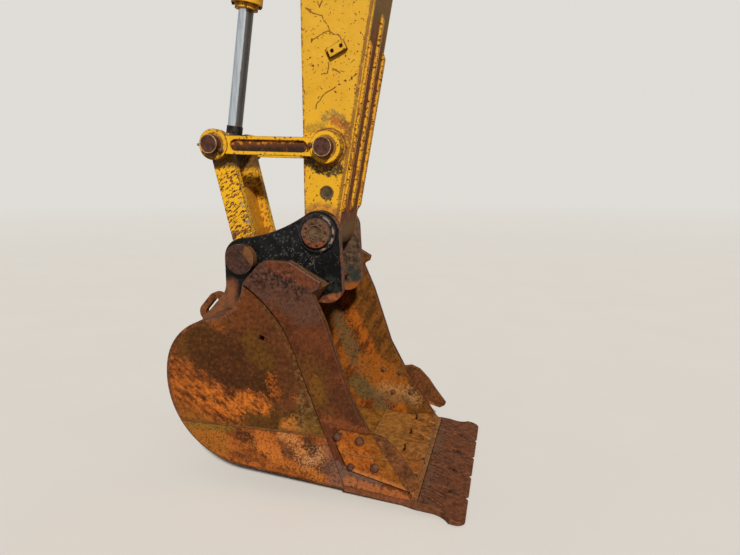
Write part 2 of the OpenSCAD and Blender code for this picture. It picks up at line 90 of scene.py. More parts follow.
# The stage: the pale background that the floor fades into, the sun and the camera
HAZE = (0.74, 0.72, 0.68, 1.0)
FILL_TINT = (0.95, 0.96, 1.0, 1.0)
FLOOR_HALF, FLOOR_DROP = 150.0, 0.003
SUN_WAY, SUN_SOFTNESS, SUN_TINT = (-0.33, 0.77, -0.55), math.radians(4.5), (1.0, 0.97, 0.92)
CAMERA_AT = (0.505, -2.901, -2.600)
CAMERA_TURN = (math.radians(80.1), 0, math.radians(14.2))
LENS, SENSOR, FARTHEST = 27.05, 36.0, 200.0

LEFT, RIGHT = -1, 1
SIDES = (LEFT, RIGHT)


def shade(red, green, blue):
    """A colour as it looks on a screen, 0 to 255, turned to scene light."""
    def channel(value):
        value /= 255
        return value / 12.92 if value <= 0.04045 else ((value + 0.055) / 1.055) ** 2.4
    return (channel(red), channel(green), channel(blue), 1.0)


def from_pin(dx, dz):
    """A point of the bucket, measured from the bucket pin."""
    return (BUCKET_PIN[0] + dx, BUCKET_PIN[1] + dz)


def on_lip(ahead, across, rise=0.0):
    """A point ahead of the cutting edge's front and above its upper face."""
    far, high = LIP_LENGTH + ahead, LIP_THICK + rise
    return Vector((LIP_BACK[0] + far * math.cos(LIP_SLOPE) - high * math.sin(LIP_SLOPE), across,
                   LIP_BACK[1] + far * math.sin(LIP_SLOPE) + high * math.cos(LIP_SLOPE)))


# ---- Node building ----


def maths(operation):
    """A method that puts a signal and other values through one operation."""
    def method(self, *others):
        return self.sheet.made("ShaderNodeMath", dict(enumerate((self, *others))),
                               {"operation": operation})
    return method


class Signal:
    """A node's output that takes part in Python expressions."""

    def __init__(self, sheet, out):
        self.sheet, self.out = sheet, out

    __add__ = __radd__ = maths("ADD")
    __mul__ = __rmul__ = maths("MULTIPLY")
    __sub__ = maths("SUBTRACT")
    __truediv__ = maths("DIVIDE")
    __abs__ = maths("ABSOLUTE")
    low = maths("MINIMUM")
    high = maths("MAXIMUM")
    fraction = maths("FRACT")

    def __rsub__(self, other):
        return self.sheet.made("ShaderNodeMath", {0: other, 1: self}, {"operation": "SUBTRACT"})

    def step(self, start, end):
        """0 below start, 1 above end and smooth between. It falls where start is above end."""
        falls = start > end
        return self.sheet.made(
            "ShaderNodeMapRange",
            {"Value": self, "From Min": min(start, end), "From Max": max(start, end),
             "To Min": float(falls), "To Max": float(not falls)},
            {"interpolation_type": "SMOOTHSTEP"})

    def band(self, centre, half, soft):
        """1 within half of centre, falling to 0 over soft."""
        return abs(self - centre).step(half + soft, half)


class Sheet:
    """A node tree under construction, with its one way to add a node."""

    def __init__(self, tree):
        self.tree = tree
        tree.nodes.clear()

    def node(self, kind, inputs=None, settings=None):
        made = self.tree.nodes.new(kind)
        for key, value in (settings or {}).items():
            setattr(made, key, value)
        for key, value in (inputs or {}).items():
            if isinstance(value, Signal):
                self.tree.links.new(value.out, made.inputs[key])
            else:
                made.inputs[key].default_value = value
        return made

    def signal(self, node, output=0):
        return Signal(self, node.outputs[output])

    def made(self, kind, inputs=None, settings=None, output=0):
        """A new node's output."""
        return self.signal(self.node(kind, inputs, settings), output)


class Finish(Sheet):
    """A material that reads only Object coordinates, its colour laid in layers."""

    def __init__(self, name):
        self.material = bpy.data.materials.new(name)
        self.material.use_nodes = True
        super().__init__(self.material.node_tree)
        self.coordinates = self.node("ShaderNodeTexCoord")
        self.place = self.signal(self.coordinates, "Object")
        apart = self.node("ShaderNodeSeparateXYZ", {0: self.place})
        self.x, self.y, self.z = (self.signal(apart, i) for i in range(3))
        self.side = self.flat(self.x, self.z)
        self.colour = self.rounded = None

    def flat(self, first, second):
        """A vector of two values, for measures in one plane."""
        return self.made("ShaderNodeCombineXYZ", {0: first, 2: second})

    def run(self, stretch, lean=0.0, vector=None):
        """Coordinates that draw a pattern out along X, Y and Z once leaned about Y, in degrees."""
        return self.made("ShaderNodeMapping", {
            "Vector": vector or self.place, "Rotation": (0, math.radians(lean), 0),
            "Scale": stretch}, {"vector_type": "TEXTURE"})

    def noise(self, scale, detail, rough=0.55, vector=None, output=0):
        return self.made("ShaderNodeTexNoise", {
            "Vector": vector or self.place, "Scale": scale, "Detail": detail,
            "Roughness": rough}, None, output)

    def cracks(self, scale, vector):
        """Distance from the edges of cells."""
        return self.made("ShaderNodeTexVoronoi", {"Vector": vector, "Scale": scale},
                         {"feature": "DISTANCE_TO_EDGE"})

    def dots(self, scale, size, share, vector):
        """Scattered spots: size is their radius in cells, and share how many cells hold one."""
        cell = self.node("ShaderNodeTexVoronoi", {"Vector": vector, "Scale": scale})
        chance = self.made("ShaderNodeSeparateXYZ", {0: self.signal(cell, "Color")})
        spot = self.signal(cell, "Distance").step(size, size * 0.7)
        return spot * chance.step(1 - share, 1.001 - share)

    def mix(self, part, *tones):
        """The second tone over the first by part. A tone is a signal or screen colour."""
        first, second = (shade(*tone) if isinstance(tone, tuple) else tone for tone in tones)
        return self.made("ShaderNodeMix", {0: part, 6: first, 7: second},
                         {"data_type": "RGBA"}, 2)

    def lay(self, part, tone):
        """Covers the colour so far with a tone."""
        self.colour = self.mix(part, self.colour, tone)

    def vectors(self, operation, *values, output=0):
        return self.made("ShaderNodeVectorMath", dict(enumerate(values)),
                         {"operation": operation}, output)

    def scaled(self, vector, factor):
        return self.made("ShaderNodeVectorMath", {0: vector, "Scale": factor},
                         {"operation": "SCALE"})

    def shaken(self, amount, scale, vector=None):
        """Coordinates moved about by noise."""
        cloud = self.noise(scale, 3.0, 0.5, None, "Color")
        centred = self.vectors("SUBTRACT", cloud, (0.5, 0.5, 0.5))
        return self.vectors("ADD", vector or self.place, self.scaled(centred, amount))

    def warped(self, amount, scale):
        """The side view's coordinates, moved about by noise."""
        return self.vectors("MULTIPLY", self.shaken(amount, scale), (1, 0, 1))

    def tooth_plan(self):
        """The plan of one tooth's width of the lip: ahead of its front, and across from a tooth."""
        ahead = self.x - on_lip(0, 0).x
        across = ((self.y / TOOTH_PITCH + TEETH / 2).fraction() - 0.5) * TOOTH_PITCH
        plan = self.shaken(0.008, 40.0, self.flat(ahead, across))
        return self.vectors("MULTIPLY", plan, (1, 0, 1))

    def past_lip(self, start, end):
        """0 behind start and 1 ahead of end, both from the cutting edge's front."""
        return self.x.step(on_lip(start, 0).x, on_lip(end, 0).x)

    def reach(self, centre, vector=None):
        """Distance from a point of the side view."""
        return self.vectors("DISTANCE", vector or self.side, (centre[0], 0, centre[1]), output=1)

    def from_line(self, points, vector=None):
        """Distance from a line of straight runs in the side view."""
        nearest = None
        for a, b in zip(points, points[1:]):
            run = Vector((b[0] - a[0], 0, b[1] - a[1]))
            way = tuple(run.normalized())
            ahead = self.vectors("SUBTRACT", vector or self.side, (a[0], 0, a[1]))
            along = self.vectors("DOT_PRODUCT", ahead, way, output=1)
            foot = self.scaled(way, along.high(0.0).low(run.length))
            gap = self.vectors("DISTANCE", ahead, foot, output=1)
            nearest = nearest.low(gap) if nearest else gap
        return nearest

    def from_lines(self, lines, vector):
        """Distance from the nearest of several lines."""
        nearest, *others = (self.from_line(line, vector) for line in lines)
        for gap in others:
            nearest = nearest.low(gap)
        return nearest

    def near(self, points, close, far, vector=None, origin=BUCKET_PIN):
        """1 within close of a line, falling to 0 at far. Its points are measured from origin."""
        line = [(origin[0] + x, origin[1] + z) for x, z in points]
        return self.from_line(line, vector).step(far, close)

    def stain(self, grain, vector, stains, origin=BUCKET_PIN):
        """Lays stains with ragged edges: (points, close, far, share, tone)."""
        for points, close, far, share, tone in stains:
            self.lay(ragged(self.near(points, close, far, vector, origin), grain) * share, tone)

    def speckle(self, dark, light, scale=62.0):
        """Breaks the colour up with dark and pale grains, and gives them for the bump too."""
        grain = self.noise(scale, 4.0, 0.7)
        self.lay(grain.step(0.50, 0.38) * dark, (34, 18, 10))
        self.lay(grain.step(0.53, 0.66) * light, (164, 102, 54))
        return grain

    def flecks(self):
        """A noise of strong small spots."""
        return (self.noise(52.0, 4.0, 0.7) - 0.5) * 2.2 + 0.5

    def grains(self):
        """A noise of stronger and finer spots."""
        return (self.noise(96.0, 4.0, 0.7) - 0.5) * 3.0 + 0.42

    def edges(self, radius):
        """1 on sharp edges and 0 on flat faces. It keeps the rounded normal for the bump."""
        self.rounded = self.made("ShaderNodeBevel", {"Radius": radius}, {"samples": 4})
        flat = self.made("ShaderNodeNewGeometry", output="Normal")
        return self.vectors("DOT_PRODUCT", self.rounded, flat, output=1).step(0.995, 0.86)

    def close(self, rough, height, depth, metallic=0.0, gloss=0.12):
        """Ends the material in one Principled shader with a bump."""
        bump = {"Height": height, "Distance": depth, "Strength": 0.9}
        if self.rounded:
            bump["Normal"] = self.rounded
        shader = self.made("ShaderNodeBsdfPrincipled", {
            "Base Color": self.colour, "Roughness": rough, "Metallic": metallic,
            "Specular IOR Level": gloss, "Normal": self.made("ShaderNodeBump", bump)})
        self.node("ShaderNodeOutputMaterial", {"Surface": shader})
        return self.material


def ragged(ramp, grain):
    """A soft mask broken up all over by a noise."""
    return (ramp + (grain - 0.5) * 2.4).step(0.08, 0.92) * ramp.step(0.0, 0.25)


# ---- Finishes ----


def rust_tone(f, scale=22):
    """Brown to orange rust in three tones."""
    broad = f.noise(scale, 5, 0.62).step(0.42, 0.68)
    fine = f.noise(scale * 7, 3, 0.6).step(0.35, 0.7)
    deep = f.mix(fine, (48, 26, 16), (98, 52, 28))
    return f.mix(broad, deep, (138, 78, 36))


ARM_SCRATCHES = (
    [(-0.499, -1.776), (-0.478, -1.796), (-0.430, -1.811), (-0.400, -1.856), (-0.390, -1.906)],
    [(-0.513, -1.768), (-0.489, -1.790)], [(-0.455, -1.742), (-0.440, -1.770), (-0.430, -1.735)],
    [(-0.491, -1.925), (-0.407, -1.883), (-0.346, -1.905), (-0.326, -1.928)],
    [(-0.400, -2.030), (-0.403, -2.080), (-0.434, -2.080)],
    [(-0.378, -2.056), (-0.341, -2.079)],
    [(-0.469, -2.244), (-0.465, -2.224), (-0.425, -2.174), (-0.362, -2.145)],
    [(-0.266, -2.180), (-0.245, -2.159)],
    [(-0.283, -2.107), (-0.252, -2.087)],
)


def yellow_paint(name, tint, chips, grime=None, scratches=(), lean=0, drawn=1):
    """Faded yellow paint. chips runs from 0, nearly whole, to 1, thickly speckled.

    lean and drawn stretch the chips along a direction of the side view."""
    f = Finish(name)
    fade = f.noise(5, 6, 0.7).step(0.42, 0.62)
    mottle = f.noise(40, 4, 0.6)
    f.colour = f.mix(fade * 0.8, tint, (206, 152, 30))
    f.lay(mottle.step(0.46, 0.75) * 0.35, (230, 180, 66))
    f.lay(mottle.step(0.42, 0.28) * 0.3, (186, 130, 14))
    low = f.z.step(-2, -2.7)
    f.lay(low * 0.55, (226, 168, 12))

    edge = f.edges(0.007)
    crumbs = f.noise(60, 4, 0.65)
    worn_edge = (edge * 1.15 + crumbs - 0.5).step(0.62, 0.82)
    grain = f.run((drawn, 1, 1), lean)
    crowd = f.noise(5, 3)
    limit = 0.745 - 0.2 * chips
    speck = f.noise(78 if drawn == 1 else 112, 2, 0.5, grain) + crowd * 0.2 - 0.02
    fleck = speck.step(limit + 0.07, limit + 0.1)
    fringe = speck.step(limit + 0.03, limit + 0.08)
    shaken = f.shaken(0.012, 60)
    sparse = f.dots(64, 0.24, 0.1 + 0.2 * chips, shaken)
    sparse = sparse.high(f.dots(38, 0.17, 0.12 + 0.15 * chips, shaken))
    chip = worn_edge.high(fleck).high(sparse * 0.75)
    halo = worn_edge.high(fringe)

    if scratches:
        gap = f.from_lines(scratches, f.warped(0.02, 30))
        broken = f.noise(70, 2).step(0.34, 0.42)
        cut = gap.step(0.0027, 0.0013) * broken * 0.85
        chip = chip.high(cut)
        halo = halo.high(gap.step(0.005, 0.0024) * broken)

    f.lay(halo * 0.55, (140, 86, 22))
    f.lay(chip, rust_tone(f))
    rough = 0.5 + mottle * 0.15 + chip * 0.25
    height = f.noise(160, 2) * 0.12 - chip * 0.9
    if grime:
        rough = rough + grime(f)
    return f.close(rough, height, 0.0012, gloss=0.3)


def arm_grime(f):
    """Rubbed places and rust round the lower pins, and brown lines along the arm's edges.

    Also a painted shadow below the idler boss and painted shade on the hose clamp block's sides.
    """
    cloud = f.noise(30, 5, 0.68)
    on_side = abs(f.y).step(HALF_ARM - 0.0025, HALF_ARM - 0.001)
    f.stain((f.grains() + cloud) * 0.5, f.warped(0.04, 20), (
        ([(-0.014, 0.15), (0.03, 0.16), (0.07, 0.136)], 0.012, 0.036, 0.85, (134, 108, 56)),
        ([(0.034, 0.132), (0.07, 0.11)], 0.01, 0.036, 0.9, (166, 94, 28)),
        ([(0.084, 0.118), (0.102, 0.084), (0.094, 0.056)], 0.008, 0.032, 0.85, (116, 70, 28)),
        ([(-0.1, 0.094), (-0.03, 0.116)], 0.006, 0.04, 0.75, (152, 118, 38)),
        ([(-0.112, -0.01), (-0.08, -0.06)], 0.01, 0.03, 0.6, (120, 74, 30)),
        # Painted shadow: a near black crescent just below the idler boss
        ([(-0.1, -0.07), (-0.06, -0.095), (0, -0.114), (0.055, -0.1)], 0.02, 0.04, 0.95,
         (36, 22, 8)),
    ), IDLER_PIN)
    seat = f.reach(IDLER_PIN, f.warped(0.01, 30))
    f.lay(seat.step(0.104, 0.094) * (0.5 + cloud).step(0.75, 1) * 0.9, (92, 52, 24))
    ring = f.reach(BUCKET_PIN, f.warped(0.03, 20)).step(0.168, 0.128) * on_side
    rub = f.mix(cloud.step(0.42, 0.6), (128, 92, 46), (206, 134, 40))
    f.lay(ring * 0.9, rub)
    nose = abs(f.y).step(HALF_ARM - 0.003, HALF_ARM - 0.01) * f.z.step(-2.76, -2.8)
    f.lay(nose * 0.85, f.mix(cloud, (70, 52, 30), (128, 96, 48)))
    belly = f.from_line([(-0.378, -2.877), (0.13, -0.024)], f.warped(0.006, 40))
    line = ragged(belly.step(0.018, 0.002), f.grains()) * f.z.step(-1.2, -1.9) * 0.7
    line = line.high(belly.band(0.004, 0.003, 0.003) * cloud.step(0.36, 0.46))
    front = f.from_line([(-0.54, -2.9), (-0.54, 0.1)], f.warped(0.01, 40))
    line = line.high(front.step(0.014, 0.004) * f.flecks().step(0.46, 0.62))
    f.lay(line * on_side * 0.8, (112, 64, 28))
    # Painted shade: the hose clamp block's side faces are darkened near black
    clamp_painted_shade = f.from_line([(-0.404, -1.99), (-0.32, -1.949)]).step(0.06, 0.04)
    clamp_painted_shade = clamp_painted_shade * abs(f.y).step(HALF_ARM + 0.0002, HALF_ARM + 0.002)
    clamp_painted_shade = clamp_painted_shade * abs(f.y).step(CLAMP_OUT, CLAMP_OUT - 0.002)
    f.lay(clamp_painted_shade * 0.85, (42, 25, 10))
    plug = f.reach(SIDE_HOLE)
    f.lay(plug.step(0.042, 0.034) * 0.8, (70, 52, 36))
    return ring * 0.2


def belly_grime(f):
    """Rust along the belly between the wear bars, olive higher up."""
    cloud = f.noise(34, 5, 0.65, f.run((1, 1, 3), 0))
    low = f.z.step(-1.3, -1.95)
    tone = f.mix(f.z.step(-2, -1.75), (98, 50, 24), (112, 88, 40))
    tone = f.mix(cloud.step(0.5, 0.62), tone, (150, 84, 36))
    f.lay((low * 1.2 + cloud - 0.6).step(0.3, 0.6), tone)
    nose = f.z.step(-2.8, -2.84)
    f.lay(nose * 0.9, f.mix(cloud, (70, 52, 30), (128, 96, 48)))
    return low * 0.2


def bar_grime(f):
    """Brown rust in streaks along the wear bars, thicker on their lower ends."""
    streak = f.noise(30, 5, 0.7, f.run((1, 1, 3), 8.7))
    low = f.z.step(-2.2, -2.8)
    worn = (low * 0.1 + streak - 0.5).step(0.08, 0.16)
    f.lay(worn * 0.85, f.mix(streak, (96, 52, 18), (156, 92, 26)))
    return worn * 0.2


def idler_grime(f):
    """The idler arms' webs darker, near black low down with orange flakes higher, and rust round
    their bosses.
    """
    cloud = f.noise(34, 5, 0.65)
    inside = f.x.step(-0.99, -0.92) * f.x.step(-0.46, -0.5) * abs(f.y).step(0.2068, 0.2052)
    inside = inside * abs(f.y).step(0.174, 0.177)
    web = f.mix((f.z + 0.03 * cloud).step(-2.428, -2.4), (40, 20, 8), (92, 48, 16))
    flakes = (f.z + 0.02 * cloud).step(-2.412, -2.398) * cloud.step(0.47, 0.56)
    web = f.mix(flakes, web, (200, 126, 30))
    web = f.mix(cloud.step(0.56, 0.64) * 0.6, web, (120, 66, 18))
    f.lay(inside, web)
    boss = f.reach(IDLER_PIN).low(f.reach(ROD_PIN))
    seat = boss.step(0.064, 0.058) * (0.6 + cloud * 0.4).step(0.7, 0.8)
    f.lay(seat * 0.85, (104, 62, 30))
    below = f.near([(-0.03, -0.062), (0.03, -0.064)], 0.01, 0.03, f.warped(0.02, 30), ROD_PIN)
    f.lay(ragged(below, f.flecks()) * 0.8, (96, 54, 22))
    rim = abs(f.y).step(IDLER_OUT - 0.001, IDLER_OUT - 0.003) * cloud.step(0.42, 0.52)
    f.lay(rim * boss.step(0.083, 0.081) * boss.step(0.07, 0.075) * 0.8, (98, 58, 26))
    return inside * 0.2


def link_grime(f):
    """Bare streaks low on the link, painted shade in darker ochre between its side plates beside
    the web, and painted shade on its top.
    """
    streak = f.noise(30, 4, 0.65, f.run((2.4, 1, 1), -37))
    low = f.z.step(-2.76, -2.98)
    f.lay((low * 0.5 + streak - 0.5).step(0.27, 0.38), rust_tone(f, 30))
    scrape = f.from_line([(-0.905, -2.7), (-0.866, -2.83)], f.warped(0.02, 30))
    scrape = scrape.step(0.012, 0.003) * f.y.step(-0.1, -0.13)
    f.lay(scrape * streak.step(0.42, 0.52), (138, 128, 108))
    # Painted shade: the faces between the side plates, beside the web, are darker ochre
    inner = abs(f.y).step(0.112, 0.108)
    web = f.mix(streak.step(0.4, 0.62), (164, 98, 12), (196, 124, 20))
    f.lay(inner * 0.7, web)
    # Painted shade: the link's top, round its forks, is darkened
    head = f.z.step(-2.545, -2.515)
    f.lay(head * 0.85, (66, 46, 26))
    return 0


def black_paint():
    """Worn black paint with light scuffs, rust on the toes, the rims and the neck."""
    f = Finish("worn_black_paint")
    cloud = f.noise(26, 5, 0.65)
    f.colour = f.mix(cloud.step(0.42, 0.66), (5, 5, 6), (19, 21, 23))
    shaken = f.shaken(0.09, 16)
    hair = f.cracks(17, shaken).step(0.024, 0.008)
    hair = hair * f.noise(22, 5, 0.7).step(0.47, 0.6)
    lower_front = f.near([(-0.12, -0.14), (0.02, -0.19), (0.08, -0.2)], 0.06, 0.12)
    nick = f.dots(105, 0.42, 0.5, f.run((2.6, 1, 1), -50, f.shaken(0.02, 40)))
    nick = nick * f.near([(-0.28, -0.09), (-0.13, -0.06)], 0.06, 0.2)
    f.lay(hair * (0.16 + lower_front * 0.75), (112, 102, 86))
    f.lay(nick * 0.45, (92, 92, 86))
    moss = f.near([(0.06, -0.25), (0.09, -0.29)], 0.015, 0.05, f.warped(0.05, 20))
    f.lay(moss * cloud.step(0.36, 0.55) * 0.6, (44, 49, 42))

    edge = f.edges(0.007)
    rim = (edge * 1.2 + cloud - 0.5).step(0.62, 0.86)
    wobble = f.warped(0.02, 24)
    under = above_line(f, wobble, (-0.005, -0.333), (0.127, -0.3))
    toe = under.step(0.004, -0.012) * f.x.step(-0.6, -0.52)
    middle, half = (EAR_OUT + EAR_IN) / 2, (EAR_OUT - EAR_IN) / 2
    face = abs(abs(f.y) - middle).step(half - 0.0003, half - 0.0013)
    front = face * f.x.step(BUCKET_PIN[0] + 0.072, BUCKET_PIN[0] + 0.082)
    front = front * f.flecks().step(0.4, 0.62)
    neck = f.z.step(-3.1, -3.16) * f.x.step(-0.9, -0.95)
    far_inside = f.y.band(EAR_IN + 0.0002, 0.0006, 0.001)

    bare = rim.high(toe).high(front).high(neck)
    rust = f.mix(cloud.step(0.38, 0.62), (86, 50, 32), (150, 86, 48))
    rust = f.mix(front * (1 - toe) * 0.6, rust, (140, 80, 60))
    rust = f.mix(neck * 0.6, rust, (106, 72, 50))
    f.lay(bare, rust)
    worn = f.mix(f.noise(30, 8, 0.78).step(0.38, 0.64), (44, 36, 30), (112, 86, 64))
    f.lay(far_inside * (1 - toe) * 0.9, worn)
    f.lay(far_inside * toe, f.mix(cloud, (110, 62, 24), (166, 92, 36)))
    f.lay(far_inside * moss * 0.8, (40, 50, 44))
    rough = 0.4 + cloud * 0.2 + bare * 0.3
    height = f.noise(70, 4, 0.6) * 0.5 - hair * 0.4
    return f.close(rough, height, 0.0018, gloss=0.16)


def above_line(f, vector, a, b):
    """Height above the line through two points of the bucket, in the side view."""
    way = Vector((b[0] - a[0], b[1] - a[1])).normalized()
    start = from_pin(*a)
    ahead = f.vectors("SUBTRACT", vector, (start[0], 0, start[1]))
    return f.vectors("DOT_PRODUCT", ahead, (-way.y, 0, way.x), output=1)


CHEEK_STAINS = (
    ([(-0.62, -0.52), (-0.50, -0.44)], 0.05, 0.20, 0.6, (94, 60, 20)),
    ([(-0.50, -0.57), (-0.30, -0.68), (-0.14, -0.66)], 0.05, 0.20, 0.65, (62, 34, 12)),
    ([(-0.38, -0.30), (-0.42, -0.38), (-0.27, -0.36)], 0.04, 0.15, 0.7, (104, 56, 26)),
    ([(-0.14, -0.42), (-0.06, -0.60), (-0.02, -0.80)], 0.03, 0.14, 0.6, (92, 52, 25)),
    ([(-0.26, -0.52), (-0.20, -0.62)], 0.01, 0.10, 0.5, (104, 70, 22)),
    ([(-0.36, -0.96), (-0.20, -0.92), (0.03, -0.93)], 0.03, 0.12, 0.75, (80, 54, 17)),
    ([(0.05, -0.93), (0.09, -0.99)], 0.02, 0.08, 0.7, (114, 78, 24)),
    ([(-0.72, -0.84), (-0.68, -0.96), (-0.52, -1.00)], 0.03, 0.10, 0.8, (152, 92, 34)),
    ([(-0.10, -0.93), (-0.04, -0.98), (0.03, -0.99)], 0.01, 0.06, 0.6, (154, 92, 36)),
)
CHEEK_SPOTS = (
    ([(-0.47, -0.43), (-0.43, -0.445)], 0.002, 0.03, 0.6, (160, 84, 30)),
    ([(-0.16, -0.70), (-0.14, -0.78)], 0.004, 0.05, 0.6, (176, 92, 28)),
    ([(-0.05, -0.80), (-0.02, -0.80)], 0.002, 0.03, 0.7, (176, 100, 44)),
    ([(-0.10, -0.94), (-0.06, -0.90), (-0.04, -0.97)], 0.004, 0.04, 0.7, (190, 116, 48)),
)


def bucket_side_rust():
    """The side plates: red-brown above, a bright orange band round the heel, olive below."""
    f = Finish("bucket_side_rust")
    cloud = f.noise(7, 7, 0.7)
    grit = f.noise(20, 8, 0.76)
    wobble = f.warped(0.09, 9)
    f.colour = f.mix(cloud.step(0.38, 0.62), (64, 34, 15), (94, 52, 24))
    f.stain(grit, wobble, CHEEK_STAINS)
    f.stain(f.grains(), wobble, CHEEK_SPOTS)

    # The bright band round the heel, in streaks
    streak = f.noise(34, 7, 0.74, f.run((3, 1, 1), 40))
    ramp = f.near([(-0.74, -0.7), (-0.64, -0.8), (-0.52, -0.86), (-0.44, -0.9)], 0.03, 0.18, wobble)
    ramp = ramp.high(f.near([(-0.38, -0.87), (-0.3, -0.82), (-0.22, -0.85)], 0.02, 0.09, wobble))
    bright = f.mix(streak.step(0.36, 0.66), (80, 38, 13), (188, 102, 36))
    hot = f.near([(-0.55, -0.82), (-0.4, -0.89), (-0.28, -0.83), (-0.21, -0.85)], 0.02, 0.09,
                 wobble)
    bright = f.mix(ragged(hot, f.grains()) * streak.step(0.38, 0.58) * 0.8, bright, (212, 118, 40))
    f.lay(ragged(ramp, (streak + f.flecks()) * 0.5) * 0.92, bright)
    rim = f.reach(SIDE_BAR_HOLLOW, f.warped(0.02, 20)).step(0.575, 0.625)
    rim = rim * f.noise(60, 4, 0.7).step(0.48, 0.58) * f.x.step(-0.72, -0.66)
    f.lay(rim * 0.8, (120, 92, 52))

    # The inside of the plates is brighter, in stripes that lean with the mouth
    within = abs(f.y).step(0.4645, 0.4635)
    lean = 0.889 * f.x + 0.458 * f.z + 1.7113 + 0.07 * (grit - 0.5)
    tall = f.noise(30, 7, 0.74, f.run((1, 1, 3.4), 27))
    outside = f.colour
    f.colour = f.mix(tall.step(0.36, 0.64), (92, 43, 10), (152, 84, 22))
    f.lay(ragged(lean.band(-0.385, 0.018, 0.05), f.flecks()) * 0.85, (98, 78, 46))
    spots = f.noise(75, 4, 0.72).step(0.5, 0.58)
    f.lay(lean.band(-0.325, 0.02, 0.03) * spots, (58, 30, 14))
    f.lay(lean.band(-0.27, 0.012, 0.03) * tall.step(0.4, 0.56) * 0.5, (180, 92, 14))
    f.lay(lean.step(-0.25, -0.225) * 0.9, f.mix(tall.step(0.4, 0.6), (82, 50, 16), (116, 70, 20)))
    f.stain(grit, wobble, (
        ([(0.1, -0.93), (0.26, -1.02)], 0.05, 0.13, 0.8, (150, 84, 22)),
        ([(0.02, -1.05), (0.07, -1.1)], 0.03, 0.08, 0.8, (92, 78, 42)),
    ))
    f.stain(f.grains(), wobble, (
        ([(0.22, -1.09), (0.38, -1.11)], 0.02, 0.1, 0.7, (172, 132, 82)),
        ([(0.2, -1.12), (0.34, -1.14)], 0.01, 0.07, 0.6, (70, 50, 28)),
    ))
    f.colour = f.mix(within, outside, f.colour)

    silver = brow_strip(f)
    f.lay(f.edges(0.006) * 0.35, (146, 98, 66))
    f.lay(silver * 0.85, (134, 118, 108))
    fine = f.speckle(0.5, 0.17)
    height = fine * 0.6 + grit * 0.4
    return f.close(0.76 + fine * 0.15, height, 0.0022)


def brow_strip(f):
    """Bare metal along the top edge of the side's brow."""
    gap = f.from_line([from_pin(-0.047, -0.104), from_pin(0.112, -0.196)])
    outer = abs(f.y).step(0.486, 0.491).high(abs(f.y).step(0.463, 0.459))
    return gap.step(0.014, 0.006) * outer * f.noise(50, 6, 0.7).step(0.38, 0.52)


def heel_rust():
    """The heel's wear plates: orange with dark and pale patches."""
    f = Finish("heel_plate_rust")
    cloud = f.noise(16, 5, 0.66)
    grit = f.noise(26, 8, 0.76)
    f.colour = f.mix(cloud.step(0.38, 0.6), (112, 58, 20), (162, 88, 32))
    f.stain(grit, f.warped(0.06, 16), (
        ([(-0.66, -1.02), (-0.48, -1.08)], 0.05, 0.12, 0.8, (158, 96, 32)),
        ([(-0.62, -0.985), (-0.4, -0.985)], 0.008, 0.04, 0.7, (120, 92, 34)),
        ([(-0.34, -1.012), (-0.27, -1.03)], 0.015, 0.045, 0.9, (70, 38, 20)),
        ([(-0.36, -1.12), (-0.3, -1.15)], 0.008, 0.04, 0.7, (88, 48, 24)),
        ([(-0.21, -1.02), (-0.15, -1.09)], 0.02, 0.07, 0.8, (184, 100, 38)),
        ([(-0.09, -1.08), (-0.05, -1.09)], 0.01, 0.04, 0.8, (84, 48, 30)),
        ([(-0.02, -1.11), (0.03, -1.13)], 0.01, 0.045, 0.8, (84, 50, 34)),
        ([(0.02, -1.02), (0.05, -1.05)], 0.01, 0.05, 0.85, (66, 42, 30)),
        ([(0.1, -1.15), (0.14, -1.13)], 0.015, 0.05, 0.85, (74, 48, 36)),
    ))
    f.stain(f.grains(), f.warped(0.06, 16), (
        ([(-0.1, -1), (-0.04, -1.03), (0.02, -1.1)], 0, 0.07, 0.7, (204, 140, 82)),
        ([(0.03, -1.13), (0.09, -1.07)], 0, 0.07, 0.7, (184, 136, 92)),
        ([(-0.26, -1.05), (-0.1, -1.13), (0.1, -1.19)], 0, 0.05, 0.6, (196, 116, 44)),
        ([(-0.12, -1.03), (-0.08, -1.08)], 0, 0.04, 0.6, (84, 50, 30)),
    ))
    right = f.x.step(BUCKET_PIN[0] + 0.08, BUCKET_PIN[0] + 0.17)
    f.lay(right * 0.75, (106, 78, 68))
    fine = f.speckle(0.6, 0.5, 100)
    top = f.z.step(-3.842, -3.835)
    f.lay(top * 0.5, (150, 118, 54))
    f.edges(0.004)
    return f.close(0.78 + fine * 0.1, fine * 0.6 + grit * 0.4, 0.0024)


